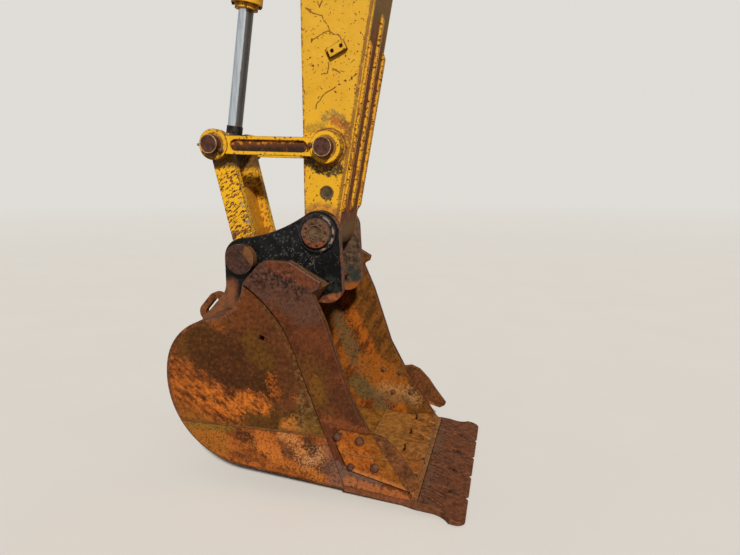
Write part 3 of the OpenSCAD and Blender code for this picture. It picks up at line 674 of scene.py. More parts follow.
def side_bar_rust():
    """The side bars: black flecks on a grey-brown top, olive and orange lower."""
    f = Finish("side_bar_rust")
    cloud = f.noise(9, 7, 0.7)
    grit = f.noise(26, 8, 0.76)
    f.colour = f.mix(cloud.step(0.38, 0.62), (76, 38, 19), (102, 54, 28))
    f.stain(f.flecks(), f.warped(0.06, 10), (
        ([(-0.2, -0.19), (-0.04, -0.24), (0.04, -0.3)], 0.07, 0.15, 0.8, (84, 59, 48)),
        ([(-0.14, -0.137), (-0.03, -0.165), (0.05, -0.215)], 0.01, 0.045, 0.6, (116, 58, 32)),
        ([(0.05, -0.62), (0.11, -0.8)], 0.01, 0.13, 0.65, (94, 60, 20)),
        ([(0.07, -0.69), (0.1, -0.77)], 0, 0.05, 0.5, (124, 82, 22)),
        ([(0.2, -0.77), (0.26, -0.82)], 0.03, 0.09, 0.7, (68, 38, 22)),
        ([(0.12, -0.88), (0.33, -0.92)], 0.008, 0.04, 0.7, (126, 68, 34)),
        ([(0.15, -1.12), (0.23, -1.17), (0.36, -1.165)], 0.03, 0.06, 0.8, (108, 84, 70)),
        ([(0.24, -1.185), (0.52, -1.235)], 0.012, 0.04, 0.8, (170, 98, 50)),
    ))
    dark = f.noise(34, 8, 0.78)
    crown = f.near([(-0.21, -0.19), (-0.07, -0.2), (-0.01, -0.25)], 0.02, 0.095,
                   f.warped(0.06, 14))
    f.lay(crown * dark.step(0.53, 0.45) * 0.9, (24, 19, 19))
    f.lay(crown * dark.step(0.56, 0.64) * 0.6, (138, 112, 92))
    fine = f.speckle(0.45, 0.15)
    silver = brow_strip(f)
    f.lay(f.edges(0.006) * 0.4, (146, 100, 72))
    f.lay(silver * 0.9, (138, 122, 112))
    return f.close(0.74 - silver * 0.25 + fine * 0.1, fine * 0.6 + grit * 0.4, 0.0022)


def bucket_shell_rust():
    """The wrapper and box beam: brown outside, ochre where soil has polished the inside, and
    painted shade darkening the box beam.
    """
    f = Finish("bucket_shell_rust")
    cloud = f.noise(6, 7, 0.7)
    grit = f.noise(30, 8, 0.76)
    tall = f.noise(14, 8, 0.72, f.run((1, 1, 2.4)))
    f.colour = f.mix(cloud.step(0.38, 0.62), (78, 44, 26), (116, 70, 44))
    f.lay(tall.step(0.5, 0.64) * 0.7, (142, 84, 40))
    f.lay((cloud * 0.5 + grit * 0.5).step(0.42, 0.36) * 0.6, (52, 34, 26))
    facing_in = f.vectors("DOT_PRODUCT", f.signal(f.coordinates, "Normal"),
                          f.vectors("SUBTRACT", (-0.7, 0, -3.6), f.place), output=1)
    wall = facing_in.step(0.02, 0.06) * abs(f.y).step(0.462, 0.458)
    floor = f.mix(tall.step(0.4, 0.6), (124, 78, 24), (158, 104, 38))
    floor = f.mix(f.z.step(-3.9, -3.6) * 0.8, floor, (120, 62, 16))
    f.lay(wall, floor)
    # Painted shade: the box beam under the ears is darkened grey-brown
    box_shade = f.near([(-0.15, -0.19), (0.02, -0.3)], 0.1, 0.14)
    f.lay(box_shade * 0.6, f.mix(grit, (46, 36, 30), (110, 86, 62)))
    f.lay(f.edges(0.006) * 0.4, (156, 106, 70))
    fine = f.speckle(0.5, 0.3)
    return f.close(0.78, fine * 0.6 + grit * 0.4, 0.0022)


def lip_steel():
    """The cutting edge and the tongues on it, ochre and polished, greyer at the front, with painted
    highlights on the tongues' lit edges and painted shade beside them and in their notches.
    """
    f = Finish("lip_steel")
    grain = f.noise(30, 7, 0.74, f.run((1.15, 1, 1), 5.65))
    cloud = f.noise(9, 6, 0.68)
    f.colour = f.mix(grain.step(0.34, 0.66), (124, 80, 32), (176, 118, 54))
    f.lay(f.x.step(-0.12, 0.02) * 0.6, f.mix(grain.step(0.4, 0.6), (110, 60, 22), (172, 106, 48)))
    near_side = f.y.step(0, -0.3)
    f.lay(near_side * cloud.step(0.36, 0.56) * 0.8, (158, 88, 32))
    front = f.past_lip(-0.034, -0.024)
    f.lay(front * 0.4, f.mix(grain, (96, 74, 54), (138, 106, 74)))
    plan = f.tooth_plan()
    # Painted highlight along the lit edges of the tongues
    lit_edge_highlight = f.from_line([(-0.125, -0.036), (-0.06, -0.07), (-0.028, -0.102)], plan)
    f.lay(lit_edge_highlight.step(0.008, 0.002) * grain.step(0.4, 0.54) * 0.65, (190, 136, 82))
    # Painted shade in the tongues' notches and a painted shadow along their far side
    notch_shade = f.from_lines(([(-0.156, -0.03), (-0.154, 0.002)], [(-0.034, 0.09), (-0.024, 0.094)]),
                         plan)
    under = f.from_line([(-0.15, 0.034), (-0.06, 0.052), (-0.03, 0.08)], plan)
    f.lay(under.step(0.016, 0.004) * 0.45, (66, 38, 16))
    f.lay(notch_shade.step(0.0085, 0.005), (26, 15, 9))
    joint = f.past_lip(-0.006, -0.003)
    f.lay(joint, (16, 12, 10))
    ends = abs(f.y).step(0.482, 0.486)
    f.lay(ends * 0.85, f.mix(cloud, (82, 46, 34), (124, 76, 52)))
    f.lay(f.edges(0.006) * (1 - joint) * 0.35, (176, 124, 74))
    fine = f.speckle(0.4, 0.3)
    return f.close(0.64 + fine * 0.15, grain * 0.5 + fine * 0.5, 0.0016)


def tooth_steel():
    """Forged teeth: dark brown, with ridges that run forward from their bases, drawn as a painted
    highlight on each crest and painted shade beside it.
    """
    f = Finish("tooth_steel")
    grain = f.noise(40, 7, 0.74, f.run((1.15, 1, 1), 5.65))
    cloud = f.noise(8, 6, 0.68)
    f.colour = f.mix(grain.step(0.36, 0.64), (74, 41, 25), (122, 73, 46))
    f.lay(cloud.step(0.5, 0.64) * 0.5, (118, 66, 36))
    plan = f.tooth_plan()
    ridge = f.from_lines(([(0.004, 0.08), (0.11, 0.046)], [(0.012, 0.012), (0.11, -0.036)]), plan)
    ridge_highlight = ridge.step(0.007, 0.002) * grain.step(0.38, 0.52)
    # Painted shade beside each ridge, then a painted highlight along its crest
    f.lay(ridge.band(0.01, 0.003, 0.005) * 0.5, (48, 28, 20))
    f.lay(ridge_highlight * 0.42, (158, 108, 76))

    # Painted shade in the open slots between the teeth and in the holes at their waists
    seam = abs((f.y / TOOTH_PITCH + (TEETH + 1) / 2).fraction() - 0.5) * TOOTH_PITCH
    hole = f.from_lines(([(0.092, 0.105), (0.14, 0.107)], [(0.092, -0.105), (0.14, -0.107)]), plan)
    gap_painted_shade = seam.step(0.008, 0.005) * f.past_lip(0.075, 0.095)
    gap_painted_shade = gap_painted_shade.high(hole.step(0.017, 0.011))
    gap_painted_shade = gap_painted_shade * abs(f.y).step(0.49, 0.48)
    f.lay(gap_painted_shade * 0.9, (20, 12, 9))

    base_zone = f.past_lip(0.05, 0.02)
    f.lay(base_zone * cloud.step(0.42, 0.58) * 0.5, (104, 84, 66))
    f.lay(f.edges(0.006) * 0.35, (156, 110, 80))
    fine = f.speckle(0.35, 0.2)
    height = grain * 0.4 + fine * 0.4 + ridge.step(0.012, 0) * 0.8
    return f.close(0.66 + fine * 0.15, height, 0.0018)


def cutter_steel():
    """Side cutters: orange rust with a cast rib and a dark planed front."""
    f = Finish("side_cutter_rust")
    cloud = f.noise(18, 7, 0.72)
    grit = f.noise(40, 8, 0.76)
    f.colour = f.mix(grit.step(0.36, 0.64), (116, 56, 14), (176, 94, 28))
    f.lay(cloud.step(0.5, 0.66) * 0.6, (194, 118, 46))

    # Moss and a planed strip run square to this slope, along the front
    slope = 0.837 * f.x + 0.548 * f.z
    moss = slope.band(-2.172, 0.016, 0.03)
    f.lay(moss * grit.step(0.4, 0.56) * 0.7, (108, 74, 16))
    planed = slope.step(-2.148, -2.14)
    plain = f.mix(cloud.step(0.38, 0.62), (78, 44, 20), (112, 66, 32))
    f.lay(planed.high(abs(f.y).step(0.515, 0.508)), plain)
    low = f.from_line([from_pin(0.276, -1.115), from_pin(0.44, -1.155), from_pin(0.56, -1.185)])
    f.lay(low.step(0.03, 0.012) * (1 - planed) * 0.5, (196, 126, 66))
    f.lay(f.edges(0.005) * 0.4, (182, 122, 74))
    fine = f.speckle(0.5, 0.35)
    return f.close(0.7, fine * 0.6 + grit * 0.4, 0.002)


def pin_steel(name, dark, light, worn=(160, 118, 74), centre=None, rim=None):
    """Turned steel with a brown bloom. rim is a stain near a pin's centre; on the link pin it is a
    painted highlight on the right of the cap.
    """
    f = Finish(name)
    cloud = f.noise(34, 5, 0.66)
    f.colour = f.mix(cloud.step(0.38, 0.62), dark, light)
    if rim:
        f.stain(cloud, f.warped(0.02, 20), [rim], centre)
    f.lay(f.edges(0.004) * 0.6, worn)
    fine = f.speckle(0.4, 0.25, 150)
    return f.close(0.6 + cloud * 0.15, fine, 0.0012)


def bucket_pin_finish():
    """The bucket pin's black outer ring and its rusty flange, redder below."""
    f = Finish("bucket_pin_rust")
    cloud = f.noise(34, 5, 0.66)
    f.colour = f.mix(cloud.step(0.38, 0.62), (72, 52, 42), (108, 80, 63))
    f.stain(cloud, f.warped(0.02, 20), (
        ([(-0.05, -0.05), (-0.01, -0.066), (0.028, -0.056)], 0.006, 0.026, 0.9, (132, 68, 40)),
    ))
    paint = f.mix(cloud.step(0.44, 0.6), (18, 18, 20), (46, 44, 48))
    arc = f.reach(BUCKET_PIN).band(0.088, 0.004, 0.003) * f.x.step(-0.45, -0.41)
    paint = f.mix(arc * cloud.step(0.44, 0.52) * 0.8, paint, (150, 138, 126))
    f.colour = f.mix(abs(f.y).step(0.2335, 0.2345), paint, f.colour)
    f.lay(f.edges(0.004) * 0.45, (150, 116, 90))
    fine = f.speckle(0.5, 0.12, 120)
    return f.close(0.56 + cloud * 0.2, fine, 0.0012)


def chrome():
    """The rod's hard chrome, with a painted blue sky reflection at the front and painted shade,
    dull dark brown, round its back.
    """
    f = Finish("rod_chrome")
    marks = f.noise(70, 4, 0.65, f.run((1, 1, 12)))
    f.colour = f.mix(marks.step(0.4, 0.7), (206, 212, 218), (168, 178, 190))
    across = f.x - 0.1563 * f.z - 0.012 * (marks - 0.5)
    # Painted reflection: a blue tint along the front edge
    f.lay(across.step(-0.65, -0.668) * 0.6, (132, 150, 172))
    # Painted shade: the back half is dull dark brown
    painted_shade_side = across.step(-0.624, -0.619)
    f.lay(painted_shade_side * 0.9, (52, 42, 34))
    return f.close(0.16 + marks * 0.1 + painted_shade_side * 0.2, marks, 0.00003, 1 - painted_shade_side * 0.6, 0.5)


def greasy_black():
    """Dark rubber and greased metal."""
    f = Finish("greasy_black")
    cloud = f.noise(40, 4)
    f.colour = f.mix(cloud.step(0.4, 0.65), (26, 23, 22), (60, 52, 44))
    f.lay(f.edges(0.003) * 0.4, (96, 80, 62))
    return f.close(0.5 + cloud * 0.2, cloud, 0.0008)


# ---- Shapes ----


def as_piece(name, mesh, body, material=None):
    """Hands a finished mesh to the frame as a piece of one body."""
    mesh.name = name
    if material:
        mesh.materials.append(material)
    piece = bpy.data.objects.new(name, mesh)
    bpy.context.scene.collection.objects.link(piece)
    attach(piece, body)


def facing(at, way):
    """A placing whose local Z points along way."""
    turn = Vector(way).to_track_quat("Z", "Y").to_matrix().to_4x4()
    return Matrix.Translation(at) @ turn


def sideways(centre, y, side):
    """A placing at a point of the side view that looks out of the arm's side."""
    return facing((centre[0], side * y, centre[1]), (0, side, 0))


def both_sides(profile, centre, y):
    """A turned part on each side of the arm."""
    return [(profile, sideways(centre, y, side)) for side in SIDES]


def outward(points, y):
    """Studs at points of the side view, looking out of both sides."""
    return [((x, side * y, z), (0, side, 0)) for side in SIDES for x, z in points]


def add_turned(work, profile, placing, segments):
    """Revolves a closed profile of (radius, height) about the placing's Z, up from its start."""
    rings = []
    for radius, height in profile:
        turns = [i * math.tau / segments for i in range(segments if radius else 1)]
        rings.append([work.verts.new(placing @ Vector(
            (radius * math.cos(turn), radius * math.sin(turn), height))) for turn in turns])
    for low, high in zip(rings, rings[1:] + rings[:1]):
        if len(low) == len(high) == 1:
            continue
        for i in range(segments):
            j = (i + 1) % segments
            if len(low) == 1:
                face = (low[0], high[j], high[i])
            elif len(high) == 1:
                face = (low[i], low[j], high[0])
            else:
                face = (low[i], low[j], high[j], high[i])
            work.faces.new(face)


def turned_mesh(parts, segments, degrees=35):
    """One mesh of turned parts, each a (profile, placing), smooth but for its sharp edges."""
    work = bmesh.new()
    for profile, placing in parts:
        add_turned(work, profile, placing, segments)
    bmesh.ops.recalc_face_normals(work, faces=work.faces)
    for face in work.faces:
        face.smooth = True
    for edge in work.edges:
        edge.smooth = edge.is_manifold and edge.calc_face_angle(0) < math.radians(degrees)
    mesh = bpy.data.meshes.new("turned")
    work.to_mesh(mesh)
    work.free()
    return mesh


def mesh_of_lines(lines):
    """One mesh of separate lines of edges."""
    points, edges = [], []
    for line in lines:
        first = len(points)
        points += [tuple(p) for p in line]
        edges += [(first + i, first + i + 1) for i in range(len(line) - 1)]
    mesh = bpy.data.meshes.new("lines")
    mesh.from_pydata(points, edges, [])
    return mesh


def mesh_of_studs(studs):
    """One mesh of bare points, each a (point, way out), with the ways as an attribute."""
    mesh = bpy.data.meshes.new("studs")
    mesh.from_pydata([tuple(point) for point, _ in studs], [], [])
    ways = mesh.attributes.new("way", "FLOAT_VECTOR", "POINT")
    for item, (_, way) in zip(ways.data, studs):
        item.vector = tuple(way)
    return mesh


class Repeat(Sheet):
    """A Geometry Nodes tree with named inputs, which ends in Realize Instances and Set Material."""

    def __init__(self, name, sizes, gather):
        self.gather = gather
        self.group = bpy.data.node_groups.new(name, "GeometryNodeTree")
        super().__init__(self.group)
        face = self.group.interface
        face.new_socket("Geometry", in_out="INPUT", socket_type="NodeSocketGeometry")
        for label, value in sizes.items():
            kind = "NodeSocketInt" if isinstance(value, int) else "NodeSocketFloat"
            face.new_socket(label, in_out="INPUT", socket_type=kind).default_value = value
        face.new_socket("Material", in_out="INPUT", socket_type="NodeSocketMaterial")
        face.new_socket("Geometry", in_out="OUTPUT", socket_type="NodeSocketGeometry")
        self.entry = self.node("NodeGroupInput")

    def given(self, label):
        return self.signal(self.entry, label)

    def upward(self, amount):
        return self.made("ShaderNodeCombineXYZ", {2: amount})

    def moved(self, shape, rise, scale=(1, 1, 1)):
        return self.made("GeometryNodeTransform", {
            "Geometry": shape, "Translation": self.upward(rise), "Scale": scale})

    def random(self, low, high):
        return self.made("FunctionNodeRandomValue",
                         {"Min": low, "Max": high, "Seed": self.given("Seed")},
                         {"data_type": "FLOAT"}, 1)

    def end(self, places):
        """Sets shapes on points, makes them real and gives them the material."""
        shape = self.made("GeometryNodeRealizeInstances", {
            0: self.made("GeometryNodeInstanceOnPoints", places)})
        shape = self.made("GeometryNodeSetMaterial",
                          {"Geometry": shape, "Material": self.given("Material")})
        self.node("NodeGroupOutput", {0: shape})
        return self

    def run(self, name, places, sizes, body, material, slot="pin_steel"):
        """Hands the tree's result on some places to the frame, as a plain mesh."""
        holder = bpy.data.objects.new("holder", self.gather(places))
        bpy.context.scene.collection.objects.link(holder)
        modifier = holder.modifiers.new("repeat", "NODES")
        modifier.node_group = self.group
        values = {**sizes, "Material": material}
        for item in self.group.interface.items_tree:
            if item.in_out == "INPUT" and item.name in values:
                modifier[item.identifier] = values[item.name]
        settled = holder.evaluated_get(bpy.context.evaluated_depsgraph_get())
        result = bpy.data.meshes.new_from_object(settled)
        holder.modifiers.remove(modifier)
        bpy.data.objects.remove(holder)
        as_piece(name, result, body)


def bolt_tree():
    """Hexagon bolts with washers on points, their heads along each point's way."""
    t = Repeat("bolts", {"Head": 0.014, "Height": 0.012, "Seed": 4}, mesh_of_studs)
    head, height = t.given("Head"), t.given("Height")
    hexagon = t.made("GeometryNodeMeshCylinder",
                     {"Vertices": 6, "Radius": head, "Depth": height})
    washer = t.made("GeometryNodeMeshCylinder",
                    {"Vertices": 20, "Radius": head * 1.35, "Depth": height * 0.5})
    dome = t.made("GeometryNodeMeshUVSphere",
                  {"Segments": 12, "Rings": 6, "Radius": head * 0.72})
    bolt = t.node("GeometryNodeJoinGeometry")
    for part in (t.moved(hexagon, height * 0.7), washer,
                 t.moved(dome, height * 1.18, (1, 1, 0.3))):
        t.tree.links.new(part.out, bolt.inputs[0])
    way = t.made("GeometryNodeInputNamedAttribute", {"Name": "way"},
                 {"data_type": "FLOAT_VECTOR"})
    turn = t.made("FunctionNodeAlignRotationToVector", {"Vector": way}, {"axis": "Z"})
    spin = t.made("FunctionNodeEulerToRotation", {0: t.upward(t.random(0.0, math.tau))})
    turn = t.made("FunctionNodeRotateRotation", {0: turn, 1: spin}, {"rotation_space": "LOCAL"})
    points = t.made("GeometryNodeMeshToPoints", {"Mesh": t.given("Geometry")})
    return t.end({"Points": points, "Instance": t.signal(bolt), "Rotation": turn})


def bead_tree():
    """A weld bead of overlapping ripples along lines."""
    t = Repeat("weld_bead", {"Radius": 0.006, "Pitch": 0.006, "Seed": 9}, mesh_of_lines)
    path = t.made("GeometryNodeMeshToCurve", {0: t.given("Geometry")})
    even = t.made("GeometryNodeResampleCurve", {"Curve": path, "Length": t.given("Pitch")},
                  {"mode": "LENGTH"})
    points = t.node("GeometryNodeCurveToPoints", {"Curve": even}, {"mode": "EVALUATED"})
    ripple = t.made("GeometryNodeMeshUVSphere",
                    {"Segments": 8, "Rings": 5, "Radius": t.given("Radius")})
    size = t.random(0.8, 1.12)
    return t.end({"Points": t.signal(points), "Instance": ripple,
                  "Rotation": t.signal(points, "Rotation"),
                  "Scale": t.made("ShaderNodeCombineXYZ", {0: size, 1: size, 2: size})})


def circle_points(centre, radius, y, start=0.0, end=360.0, count=48):
    """Points on an arc of the side view, degrees from +X towards +Z."""
    angles = [math.radians(start + (end - start) * i / count) for i in range(count + 1)]
    return [Vector((centre[0] + radius * math.cos(a), y, centre[1] + radius * math.sin(a)))
            for a in angles]


# ---- Settings ----


def colour_setting(name, description, *tone):
    return FloatVectorProperty(name=name, description=description, subtype="COLOR", size=4,
                               min=0, max=1, default=shade(*tone))


def number_setting(name, description, low, high, default, **more):
    """A whole number or a decimal, as its default is."""
    kind = IntProperty if isinstance(default, int) else FloatProperty
    return kind(name=name, description=description, min=low, max=high, default=default, **more)


class ArmSettings(bpy.types.PropertyGroup):
    """Sizes and colours of the finishes and fittings."""

    arm_yellow: colour_setting("Arm yellow", "Paint of the dipper arm", 212, 162, 34)
    link_yellow: colour_setting(
        "Linkage yellow", "Paint of the idler arms and the bucket link", 230, 174, 24)
    chip_share: number_setting(
        "Chips", "How thickly the link's paint is chipped", 0, 1, 0.9, subtype="FACTOR")
    cap_bolts: number_setting("Cap bolts", "Bolts in each bucket pin cap", 4, 16, 8)
    cap_bolt_head: number_setting(
        "Cap bolt head", "Radius of the cap bolts' heads", 0.003, 0.02, 0.0075, unit="LENGTH")
    gland_bolts: number_setting("Gland bolts", "Bolts in the cylinder's gland", 4, 16, 8)
    cutter_bolt_size: number_setting(
        "Cutter bolt size", "Factor on the side cutters' bolt heads", 0.5, 1.3, 1.0,
        subtype="FACTOR")
    bead_radius: number_setting(
        "Weld bead", "Radius of the weld beads", 0.002, 0.012, 0.006, unit="LENGTH")
    floor_colour: colour_setting("Floor", "Colour of the floor", 242, 238, 231)
    key_strength: number_setting("Key light", "Strength of the main lamp", 0, 10, 3.6)
    fill_strength: number_setting(
        "Fill light", "Strength of the light from all round", 0, 3, 0.16)


def settings():
    return bpy.context.scene.arm_settings


def dress(material, *names):
    """Gives CAD pieces a material in place of their plain one."""
    for name in names:
        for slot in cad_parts[name].material_slots:
            slot.material = material


def steel(name, *tones):
    """Pin steel that several pieces share, made once."""
    return bpy.data.materials.get(name) or pin_steel(name, *tones)


def bolt_steel():
    return steel("bolt_steel", (62, 40, 32), (104, 66, 46))


# ---- Operators ----


class ARM_OT_paint_arm(bpy.types.Operator):
    """Paint the dipper arm, its bosses, wear bars and clamps."""
    bl_idname = "arm.paint_arm"
    bl_label = "Paint the arm"

    def execute(self, context):
        tint = settings().arm_yellow
        paint = yellow_paint("arm_yellow_paint", tint, 0.32, arm_grime, ARM_SCRATCHES)
        dress(paint, "stick_side_left", "stick_side_right", "stick_front_plate", "nose_boss",
              "idler_boss", "boom_pivot_boss", "horn_bosses", "cylinder_bracket", "hose_clamps")
        dress(yellow_paint("belly_yellow_paint", tint, 0.6, belly_grime), "stick_belly_plate")
        dress(yellow_paint("wear_bar_paint", (214, 150, 22), 0.8, bar_grime), "wear_bars")
        return {"FINISHED"}


class ARM_OT_paint_linkage(bpy.types.Operator):
    """Paint the idler arms and the bucket link, and finish their pins."""
    bl_idname = "arm.paint_linkage"
    bl_label = "Paint the linkage"

    def execute(self, context):
        tint = settings().link_yellow
        dress(yellow_paint("idler_yellow_paint", tint, 0.5, idler_grime),
              "idler_arm_left", "idler_arm_right")
        dress(yellow_paint("link_yellow_paint", tint, settings().chip_share, link_grime,
                           lean=-37, drawn=2.5), "bucket_link")
        dress(pin_steel("linkage_pin_rust", (58, 38, 34), (88, 58, 46)),
              "idler_pin", "idler_pin_ends", "fork_pins", "base_pin")
        return {"FINISHED"}


class ARM_OT_finish_cylinder(bpy.types.Operator):
    """Paint the bucket cylinder's barrel and give its rod chrome."""
    bl_idname = "arm.finish_cylinder"
    bl_label = "Finish the cylinder"

    def execute(self, context):
        dress(yellow_paint("barrel_yellow_paint", (222, 164, 38), 0.3),
              "barrel", "barrel_eye", "gland", "oil_pipes")
        dress(chrome(), "rod")
        dress(greasy_black(), "rod_eye", "rod_pin")
        return {"FINISHED"}


class ARM_OT_rust_bucket(bpy.types.Operator):
    """Rust the bucket, blacken its ears and wear its cutting edge, teeth and cutters."""
    bl_idname = "arm.rust_bucket"
    bl_label = "Rust the bucket"

    def execute(self, context):
        dress(bucket_side_rust(), "cheek_left", "cheek_right")
        dress(heel_rust(), "heel_plate_left", "heel_plate_right")
        dress(side_bar_rust(), "side_bar_left", "side_bar_right")
        dress(bucket_shell_rust(), "wrapper", "top_box", "lifting_eye")
        dress(black_paint(), "ear_left", "ear_right")
        dress(lip_steel(), "cutting_edge", "adapters")
        dress(tooth_steel(), *(f"tooth_{i + 1}" for i in range(TEETH)))
        dress(cutter_steel(), "side_cutter_left", "side_cutter_right")
        dress(bucket_pin_finish(), "bucket_pin")
        # Painted highlight: a tan rim on the right side of the link pin's cap
        stain = ([(0.052, 0.045), (0.075, -0.005)], 0.012, 0.034, 0.85, (120, 80, 45))
        dress(pin_steel("link_pin_rust", (48, 34, 32), (76, 50, 42), (150, 130, 112), LINK_PIN,
                        stain), "link_pin")
        return {"FINISHED"}


# Profiles of turned fittings, (radius, height) from the face that they sit on
PIN_RIM = [(0.0436, -0.003), (0.0478, -0.003), (0.0478, 0.0004), (0.0466, 0.0016),
           (0.0448, 0.0016), (0.0436, 0.0004)]
RECESS_CAP = [(0.0, -0.013), (0.0355, -0.013), (0.0355, -0.004), (0.030, -0.004),
              (0.027, -0.009), (0.0, -0.008)]
CAP_RING = [(0.0365, -0.002), (0.0430, -0.002), (0.0430, 0.001), (0.0420, 0.002),
            (0.0380, 0.002), (0.0365, 0.001)]
NIPPLE = [(0.0, 0.0), (0.0090, 0.0), (0.0090, 0.006), (0.0055, 0.008), (0.0055, 0.016),
          (0.0072, 0.018), (0.0072, 0.022), (0.0040, 0.026), (0.0, 0.026)]
SIDE_PLUG = [(0.0, -0.012), (0.0315, -0.012), (0.0315, -0.003), (0.0265, -0.003),
             (0.0245, -0.006), (0.016, -0.005), (0.0, -0.004)]
OIL_PORT = [(0.0, 0.0), (0.024, 0.0), (0.024, 0.010), (0.021, 0.012), (0.0165, 0.012),
            (0.0165, 0.022), (0.0, 0.022)]
TOOTH_PIN = [(0.0, -0.004), (0.016, -0.004), (0.0145, 0.003), (0.010, 0.0045),
             (0.008, 0.001), (0.0, 0.001)]

# The ring of the bucket pin's cap bolts, and the bolts on the idler arms and the ears
CAP_BOLT_RING = 0.057
KEEPERS = [(-0.482, -2.428), (-0.972, -2.447)]
EAR_BOLT = from_pin(0.012, -0.097)

# The grease nipples stand on the backs of these bosses, in the middle of each idler arm
ROD_BOSS_R, LINK_BOSS_R = 0.079, 0.0775
IDLER_MIDDLE = 0.196


class ARM_OT_fit_pins(bpy.types.Operator):
    """Fit the bucket pin's cap bolts, the linkage pins' rims and keepers and the nipples."""
    bl_idname = "arm.fit_pins"
    bl_label = "Fit the pins"

    def execute(self, context):
        s = settings()
        bolts = bolt_tree()
        face = EAR_OUT + PIN_OUT
        ring = circle_points(BUCKET_PIN, CAP_BOLT_RING, 0, 11, 371, s.cap_bolts)[:-1]
        bolts.run("cap_bolts", outward([(p.x, p.z) for p in ring], face),
                  {"Head": s.cap_bolt_head, "Height": 0.008}, "bucket", bolt_steel())

        # A bare rim runs round the head of each linkage pin
        head = IDLER_OUT + PIN_OUT
        rims = both_sides(PIN_RIM, IDLER_PIN, head) + both_sides(PIN_RIM, ROD_PIN, head)
        as_piece("pin_rims", turned_mesh(rims, 48), "idler",
                 steel("worn_rim", (150, 116, 84), (206, 176, 140)))

        # Stepped caps in the bucket pin's recess
        caps = both_sides(RECESS_CAP, BUCKET_PIN, face) + both_sides(CAP_RING, BUCKET_PIN, face)
        as_piece("bucket_pin_caps", turned_mesh(caps, 40), "bucket",
                 steel("worn_cap", (70, 52, 40), (112, 88, 64), (130, 104, 80)))

        bolts.run("keeper_bolts", outward(KEEPERS, IDLER_OUT), {"Head": 0.011, "Height": 0.013},
                  "idler", bolt_steel())
        bolts.run("ear_bolts", outward([EAR_BOLT], EAR_OUT), {"Head": 0.007, "Height": 0.006},
                  "bucket", steel("pale_bolt", (126, 112, 96), (178, 166, 148)))

        bright = steel("grease_nipple", (92, 76, 60), (148, 130, 104))
        back = (ROD_PIN[0] - ROD_BOSS_R, IDLER_MIDDLE, ROD_PIN[1])
        idler = [(NIPPLE, facing((back[0], side * back[1], back[2]), (-1, 0, 0.1)))
                 for side in SIDES]
        as_piece("idler_nipples", turned_mesh(idler, 16), "idler", bright)
        link = [(NIPPLE, facing((LINK_PIN[0] - LINK_BOSS_R, 0.0, LINK_PIN[1]), (-1, 0, 0)))]
        as_piece("link_nipple", turned_mesh(link, 16), "link", bright)
        as_piece("side_plugs", turned_mesh(both_sides(SIDE_PLUG, SIDE_HOLE, HALF_ARM), 36),
                 "stick", steel("plug_steel", (46, 40, 34), (84, 74, 56)))
        return {"FINISHED"}


# Along the barrel from its base pin: the gland's bolt face, the straps, and each oil port with
# its place across. Rises are measured out from the barrel's middle
GLAND_FACE, GLAND_RING = 1.444, 0.071
STRAPS, STRAP_HALF = (0.52, 0.86, 1.20), 0.014
PIPE_RISE, PIPE_SIDE = 0.086, 0.030
PORT_RISE = 0.060
OIL_PORTS = ((1.318, -PIPE_SIDE), (0.335, PIPE_SIDE))

# Inner and outer radius of a strap round the barrel and of its clip round the pipe
STRAP_R, CLIP_R = (0.0695, 0.0735), (0.0105, 0.0150)
STRAP_BOLTS_ACROSS = (-0.052, -0.010)


class ARM_OT_fit_cylinder(bpy.types.Operator):
    """Fit the gland's bolts, the pipe straps and the oil ports of the bucket cylinder."""
    bl_idname = "arm.fit_cylinder"
    bl_label = "Fit the cylinder"

    def execute(self, context):
        axis = Vector((ROD_PIN[0] - BASE_PIN[0], 0, ROD_PIN[1] - BASE_PIN[1])).normalized()
        out = Vector((axis.z, 0, -axis.x))
        base = Vector((BASE_PIN[0], 0, BASE_PIN[1]))

        def on_barrel(along, rise, across=0.0):
            return base + axis * along + out * rise + Vector((0, across, 0))

        def hoop(inner, outer):
            half, bevel = STRAP_HALF, 0.001
            return [(inner, -half), (outer - bevel, -half), (outer, bevel - half),
                    (outer, half - bevel), (outer - bevel, half), (inner, half)]

        count = settings().gland_bolts
        turns = [math.tau * (i + 0.5) / count for i in range(count)]
        studs = [(on_barrel(GLAND_FACE, GLAND_RING * math.cos(turn),
                            GLAND_RING * math.sin(turn)), axis) for turn in turns]
        studs += [(on_barrel(along, STRAP_R[1], across), out)
                  for along in STRAPS for across in STRAP_BOLTS_ACROSS]
        bolt_tree().run("cylinder_bolts", studs, {"Head": 0.0075, "Height": 0.009}, "barrel",
                        bolt_steel())

        parts = []
        for along in STRAPS:
            parts.append((hoop(*STRAP_R), facing(on_barrel(along, 0), axis)))
            parts.append((hoop(*CLIP_R),
                          facing(on_barrel(along, PIPE_RISE, -PIPE_SIDE), axis)))
        parts += [(OIL_PORT, facing(on_barrel(along, PORT_RISE, across), out))
                  for along, across in OIL_PORTS]
        as_piece("cylinder_straps", turned_mesh(parts, 40), "barrel",
                 bpy.data.materials["barrel_yellow_paint"])
        return {"FINISHED"}


# Bolts of a side cutter from the bucket pin, and the radius of their heads
CUTTER_BOLTS = (((0.197, -0.939), 0.021), ((0.305, -0.951), 0.022), ((0.261, -1.087), 0.017),
                ((0.379, -1.078), 0.022))
CUTTER_RIB = ((0.24, -1.02), (0.281, -1.027), (0.33, -1.025), (0.382, -1.031), (0.438, -1.030))


